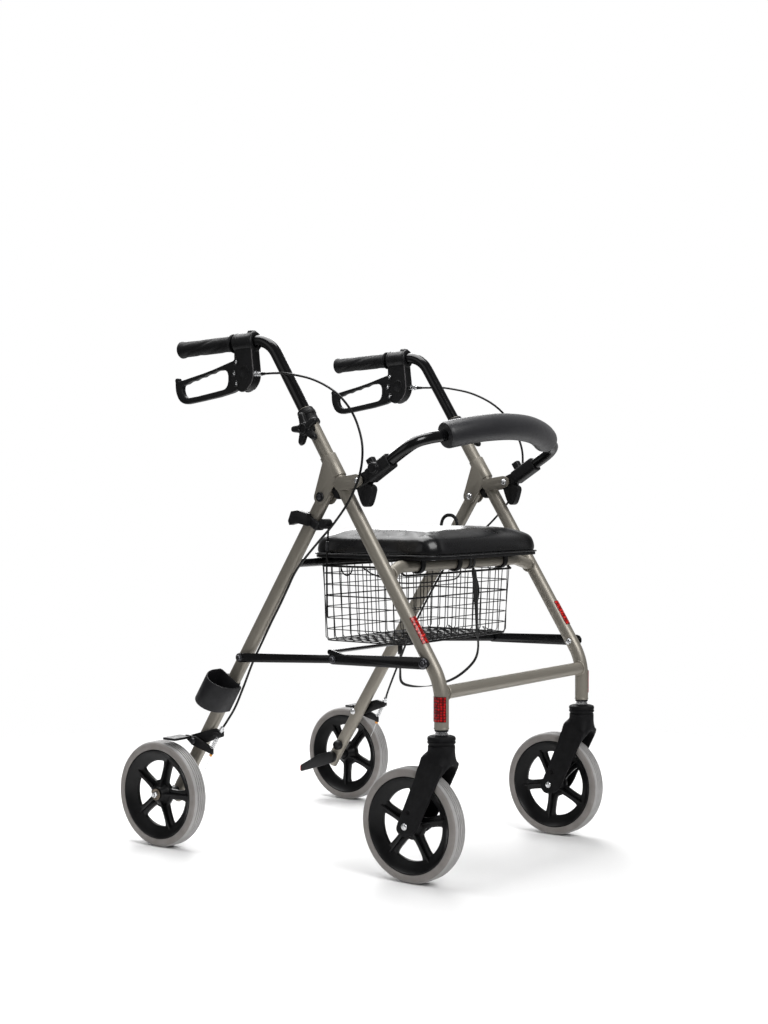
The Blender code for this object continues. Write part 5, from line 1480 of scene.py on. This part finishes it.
def cane_parts():
    low = Vector((0, *along(FOLD_PIVOT, REAR_AXLE, 0.458)))
    top = Vector((0, *along(FOLD_PIVOT, REAR_AXLE, 0.402)))
    up = (top - low).normalized()
    fore = Vector((0, up.z, -up.y))
    flat_x = REAR_LEG_X + 0.0093
    depth, half = 0.0612, 0.0312

    def section(shrink):
        points = [(flat_x + shrink, half - shrink - 0.004), (flat_x + shrink, -half + shrink + 0.004),
                  (flat_x + shrink + 0.003, -half + shrink)]
        for step in range(25):
            angle = radians(-90 + 180 * step / 24)
            points.append((flat_x + 0.020 + (depth - 0.020 - shrink) * cos(angle),
                           (half - shrink) * sin(angle)))
        points.append((flat_x + shrink + 0.003, half - shrink))
        return points

    height = (top - low).length
    steps = [(0.0024, 0.0), (0.0006, 0.0004), (0.0, 0.0016), (0.0, height - 0.0014),
             (0.0004, height - 0.0003),
             (0.0012, height), (0.0022, height - 0.0003), (0.0027, height - 0.0014), (0.0027, 0.0032)]
    bm = bmesh.new()
    rings = []
    for shrink, distance in steps:
        rings.append([bm.verts.new(low + up * distance + fore * f + Vector((-x, 0, 0))) for x,
                      f in section(shrink)])
    count = len(rings[0])
    for a, b in zip(rings, rings[1:]):
        for k in range(count):
            n = (k + 1) % count
            bm.faces.new((a[k], a[n], b[n], b[k]))
    bm.faces.new(rings[0])
    bm.faces.new(list(reversed(rings[-1])))
    bmesh.ops.recalc_face_normals(bm, faces=bm.faces)
    piece("cane_cup_shell", mesh_of(bm, "cup"), CUP_PLASTIC, "rear_frame", ("cane_cup",))
    bands = []
    for distance in (0.410, 0.450):
        spot = Vector((-REAR_LEG_X, *along(FOLD_PIVOT, REAR_AXLE, distance)))
        path = []
        for k in range(40):
            a = 2 * pi * k / 40
            path.append(spot + Vector((0.0103 * cos(a), 0, 0)) + fore * (0.0143 * sin(a)))
        bands.append(sweep(path, oval(0.0030, 0.0010, 3.0, 12), loop=True, up=up))
        head = spot + fore * 0.0160
        bands.append(moved(block((-0.004, -0.004, -0.003), (0.004, 0.004, 0.003), 0.001),
                           frame_at(head, up)))
    piece("cane_cup_ties", joined(bands), PLASTIC, "rear_frame")
    from_cad("cane_clip", PLASTIC, "rear_frame", 0.0012, 35.0)
    boss = moved(solid_rod(0.0092, 0.0200, 0.0016, 32), frame_at((-0.2560, *at(0.2500, 0.6185)), (1, 0, 0)))
    piece("cane_clip_boss", boss, PLASTIC, "rear_frame")
    points = ((0.2520, 0.6150), (0.2560, 0.5600), (0.2560, 0.5000), (0.2550, 0.4500))
    rod = sweep(spline_path([(-0.2350, *at(y, z)) for y, z in points], 24), circle(0.0017, 12))
    piece("stay_rod_clip", rod, TUBE, "rear_frame")
    collar = sweep([(-0.2350, *at(0.2544, 0.5860)), (-0.2350, *at(0.2553, 0.5700))], circle(0.0030, 16))
    piece("stay_rod_sleeve", collar, DARK_STEEL, "rear_frame")


# ---------------------------------------------------------------- cables and strap
CABLE = [(0.2500, 0.3965, 0.8937), (0.2560, 0.3770, 0.8933), (0.2592, 0.3560, 0.8928),
         (0.2602, 0.3257, 0.8905),
         (0.2610, 0.2675, 0.8776), (0.2625, 0.2160, 0.8535),
         (0.2645, 0.1800, 0.8210), (0.2670, 0.1590, 0.7850), (0.2690, 0.1500, 0.7480),
         (0.2700, 0.1560, 0.7050), (0.2690, 0.1800, 0.6600), (0.2660, 0.2177, 0.6180),
         (0.2620, 0.2560, 0.5845), (0.2560, 0.2913, 0.5544), (0.2500, 0.3180, 0.5290),
         (0.2470, 0.3385, 0.4985), (0.2460, 0.3560, 0.4700), (0.2460, 0.3780, 0.4350),
         (0.2465, 0.4000, 0.3970), (0.2475, 0.4210, 0.3600), (0.2485, 0.4430, 0.3130),
         (0.2500, 0.4630, 0.2720), (0.2560, 0.4790, 0.2440), (0.2600, 0.4850, 0.2330)]


def cables():
    """Each brake cable in two lengths that meet beside the leg."""
    for side, sign in SIDES.items():
        points = [(sign * x, STEM_Y + y, z) for x, y, z in CABLE]
        path = spline_path(points, 190)
        cut = min(range(len(path)), key=lambda k: abs(path[k].z - 0.748) + abs(path[k].y - (STEM_Y + 0.150)))
        upper = piece(f"cable_upper_{side}", sweep(path[:cut + 1], circle(0.0021, 12)), SHEATH, "",
                      (f"brake_cable_{side}",), ride=False)
        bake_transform(upper)
        lower = piece(f"cable_lower_{side}", sweep(path[cut:], circle(0.0021, 12)), SHEATH, "",
                      (f"brake_cable_{side}",), ride=False)
        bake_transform(lower)
        boot = sweep([path[0] + Vector((0, 0.001, 0)), path[2], path[4]],
                     lambda t: circle(0.0034 - 0.0008 * t, 16))
        piece(f"cable_boot_{side}", boot, SHEATH, f"handle_{side}")


STRAP_ROUTE = [(0.0230, 0.1060, 0.5300), (0.0210, 0.1035, 0.5000), (0.0230, 0.1020, 0.4600),
               (0.0250, 0.1020, 0.4200), (0.0390, 0.1080, 0.3850), (0.0470, 0.1190, 0.3600),
               (0.0400, 0.1330, 0.3400), (0.0240, 0.1500, 0.3230), (0.0040, 0.1680, 0.3130),
               (-0.0180, 0.1880, 0.3080), (-0.0370, 0.2100, 0.3090), (-0.0480, 0.2240, 0.3170),
               (-0.0500, 0.2256, 0.3400), (-0.0500, 0.2256, 0.3650), (-0.0500, 0.2256, 0.3855)]


def strap():
    points = [(x, STEM_Y + y, z) for x, y, z in STRAP_ROUTE]
    path = spline_path(points, 160)
    band = sweep(path, lambda t: oval(0.0026 + 0.0026 * max(0.0, 1 - 3.5 * t), 0.0007, 4.0, 12),
                 turn=lambda t: 5.0 * t + 0.8 * sin(9 * t), up=(1, 0, 0))
    obj = piece("fold_pull_strap", band, STRAP, "", ("fold_strap",), ride=False)
    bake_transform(obj)
    wraps = []
    for x in (0.018, 0.030):
        ring = []
        for k in range(48):
            a = 2 * pi * k / 48
            ring.append((x + 0.0008 * sin(a), SEAT_PIVOT[0] + 0.0121 * cos(a),
                         SEAT_PIVOT[1] + 0.0121 * sin(a)))
        wraps.append(sweep(ring, oval(0.0042, 0.0008, 4.0, 12), loop=True, up=(1, 0, 0)))
    tail = [(0.022, STEM_Y + 0.1080, 0.5330), (0.020, STEM_Y + 0.1060, 0.5200),
            (0.026, STEM_Y + 0.1040, 0.5050),
            (0.030, STEM_Y + 0.1030, 0.4880), (0.027, STEM_Y + 0.1030, 0.4680)]
    wraps.append(sweep(spline_path(tail, 30), oval(0.0040, 0.0006, 4.0, 12), turn=lambda t: 2.2 * t,
                       up=(1, 0, 0)))
    piece("strap_wraps", joined(wraps, 60.0), STRAP, "front_frame")
    clip = joined([block((-0.0560, STEM_Y + 0.2200, 0.3860), (-0.0440, STEM_Y + 0.2310, 0.3965), 0.0015),
                   block((-0.0545, STEM_Y + 0.2225, 0.3690), (-0.0455, STEM_Y + 0.2285, 0.3880), 0.0012)])
    piece("strap_clip", clip, PLASTIC, "front_links")


# ---------------------------------------------------------------- studio
def floor_material():
    """Pale paper floor that fades into the white background away from the middle."""
    mat, tree, shader = shader_of("pale_floor")
    shader.inputs["Base Color"].default_value = (0.93, 0.93, 0.93, 1.0)
    shader.inputs["Roughness"].default_value = 0.6
    shader.inputs["Specular IOR Level"].default_value = 0.2
    coords = tree.nodes.new("ShaderNodeTexCoord")
    reach = tree.nodes.new("ShaderNodeVectorMath")
    reach.operation = "LENGTH"
    tree.links.new(coords.outputs["Object"], reach.inputs[0])
    tree.links.new(ramp(tree, reach.outputs["Value"], 1.0, 0.0, 0.75, 1.60), shader.inputs["Alpha"])
    return mat


def studio():
    world = bpy.data.worlds.new("studio")
    bpy.context.scene.world = world
    world.use_nodes = True
    tree = world.node_tree
    background = tree.nodes["Background"]
    background.inputs["Color"].default_value = (1.0, 1.0, 1.0, 1.0)
    coords = tree.nodes.new("ShaderNodeTexCoord")
    facing = tree.nodes.new("ShaderNodeVectorMath")
    facing.operation = "DOT_PRODUCT"
    facing.inputs[1].default_value = (0.80, 0.58, 0.0)
    tree.links.new(coords.outputs["Generated"], facing.inputs[0])
    tree.links.new(ramp(tree, facing.outputs["Value"], 0.12, 0.50, 0.30, 0.95),
                   background.inputs["Strength"])
    bright = tree.nodes.new("ShaderNodeBackground")
    bright.inputs["Color"].default_value = (1.0, 1.0, 1.0, 1.0)
    bright.inputs["Strength"].default_value = 1.0
    mix = tree.nodes.new("ShaderNodeMixShader")
    rays = tree.nodes.new("ShaderNodeLightPath")
    tree.links.new(rays.outputs["Is Camera Ray"], mix.inputs["Fac"])
    tree.links.new(background.outputs["Background"], mix.inputs[1])
    tree.links.new(bright.outputs["Background"], mix.inputs[2])
    tree.links.new(mix.outputs["Shader"], tree.nodes["World Output"].inputs["Surface"])
    bm = bmesh.new()
    bmesh.ops.create_grid(bm, x_segments=2, y_segments=2, size=3.0)
    floor = link(bpy.data.objects.new("floor", mesh_of(bm, "floor")))
    floor.data.materials.append(floor_material())
    for name, place, target, size, power in (
            ("key", (-0.8, -3.0, 2.8), (0, 0, 0.4), 1.8, 90.0),
            ("overhead", (0.3, 0.8, 3.2), (0, 0, 0.2), 2.6, 120.0),
            ("back", (2.6, 2.4, 2.0), (0, 0, 0.5), 1.8, 55.0),
            ("side", (-3.4, 1.2, 1.6), (0, 0, 0.5), 2.4, 9.0)):
        light = bpy.data.lights.new(name, "AREA")
        light.shape = "SQUARE"
        light.size = size
        light.energy = power
        obj = link(bpy.data.objects.new(name, light))
        obj.location = place
        obj.rotation_euler = (Vector(target) - Vector(place)).to_track_quat("-Z", "Y").to_euler()
    bpy.context.scene.view_settings.view_transform = "Standard"


def camera():
    data = bpy.data.cameras.new("camera")
    data.sensor_width = 36.0
    data.lens = 56.32
    obj = link(bpy.data.objects.new("camera", data))
    obj.location = (-2.508, -1.8685, 0.6795)
    obj.rotation_euler = Vector((0.807, 0.590, -0.0138)).to_track_quat("-Z", "Y").to_euler()
    bpy.context.scene.camera = obj


def build():
    camera()
    strap()
    cables()
    wheels()
    for side, sign in SIDES.items():
        caster(side, sign)
    frame_tubes()
    reflectors()
    pivots()
    links()
    handles()
    backrest()
    seat()
    basket()
    rear_brakes()
    cane_parts()
    studio()


build()
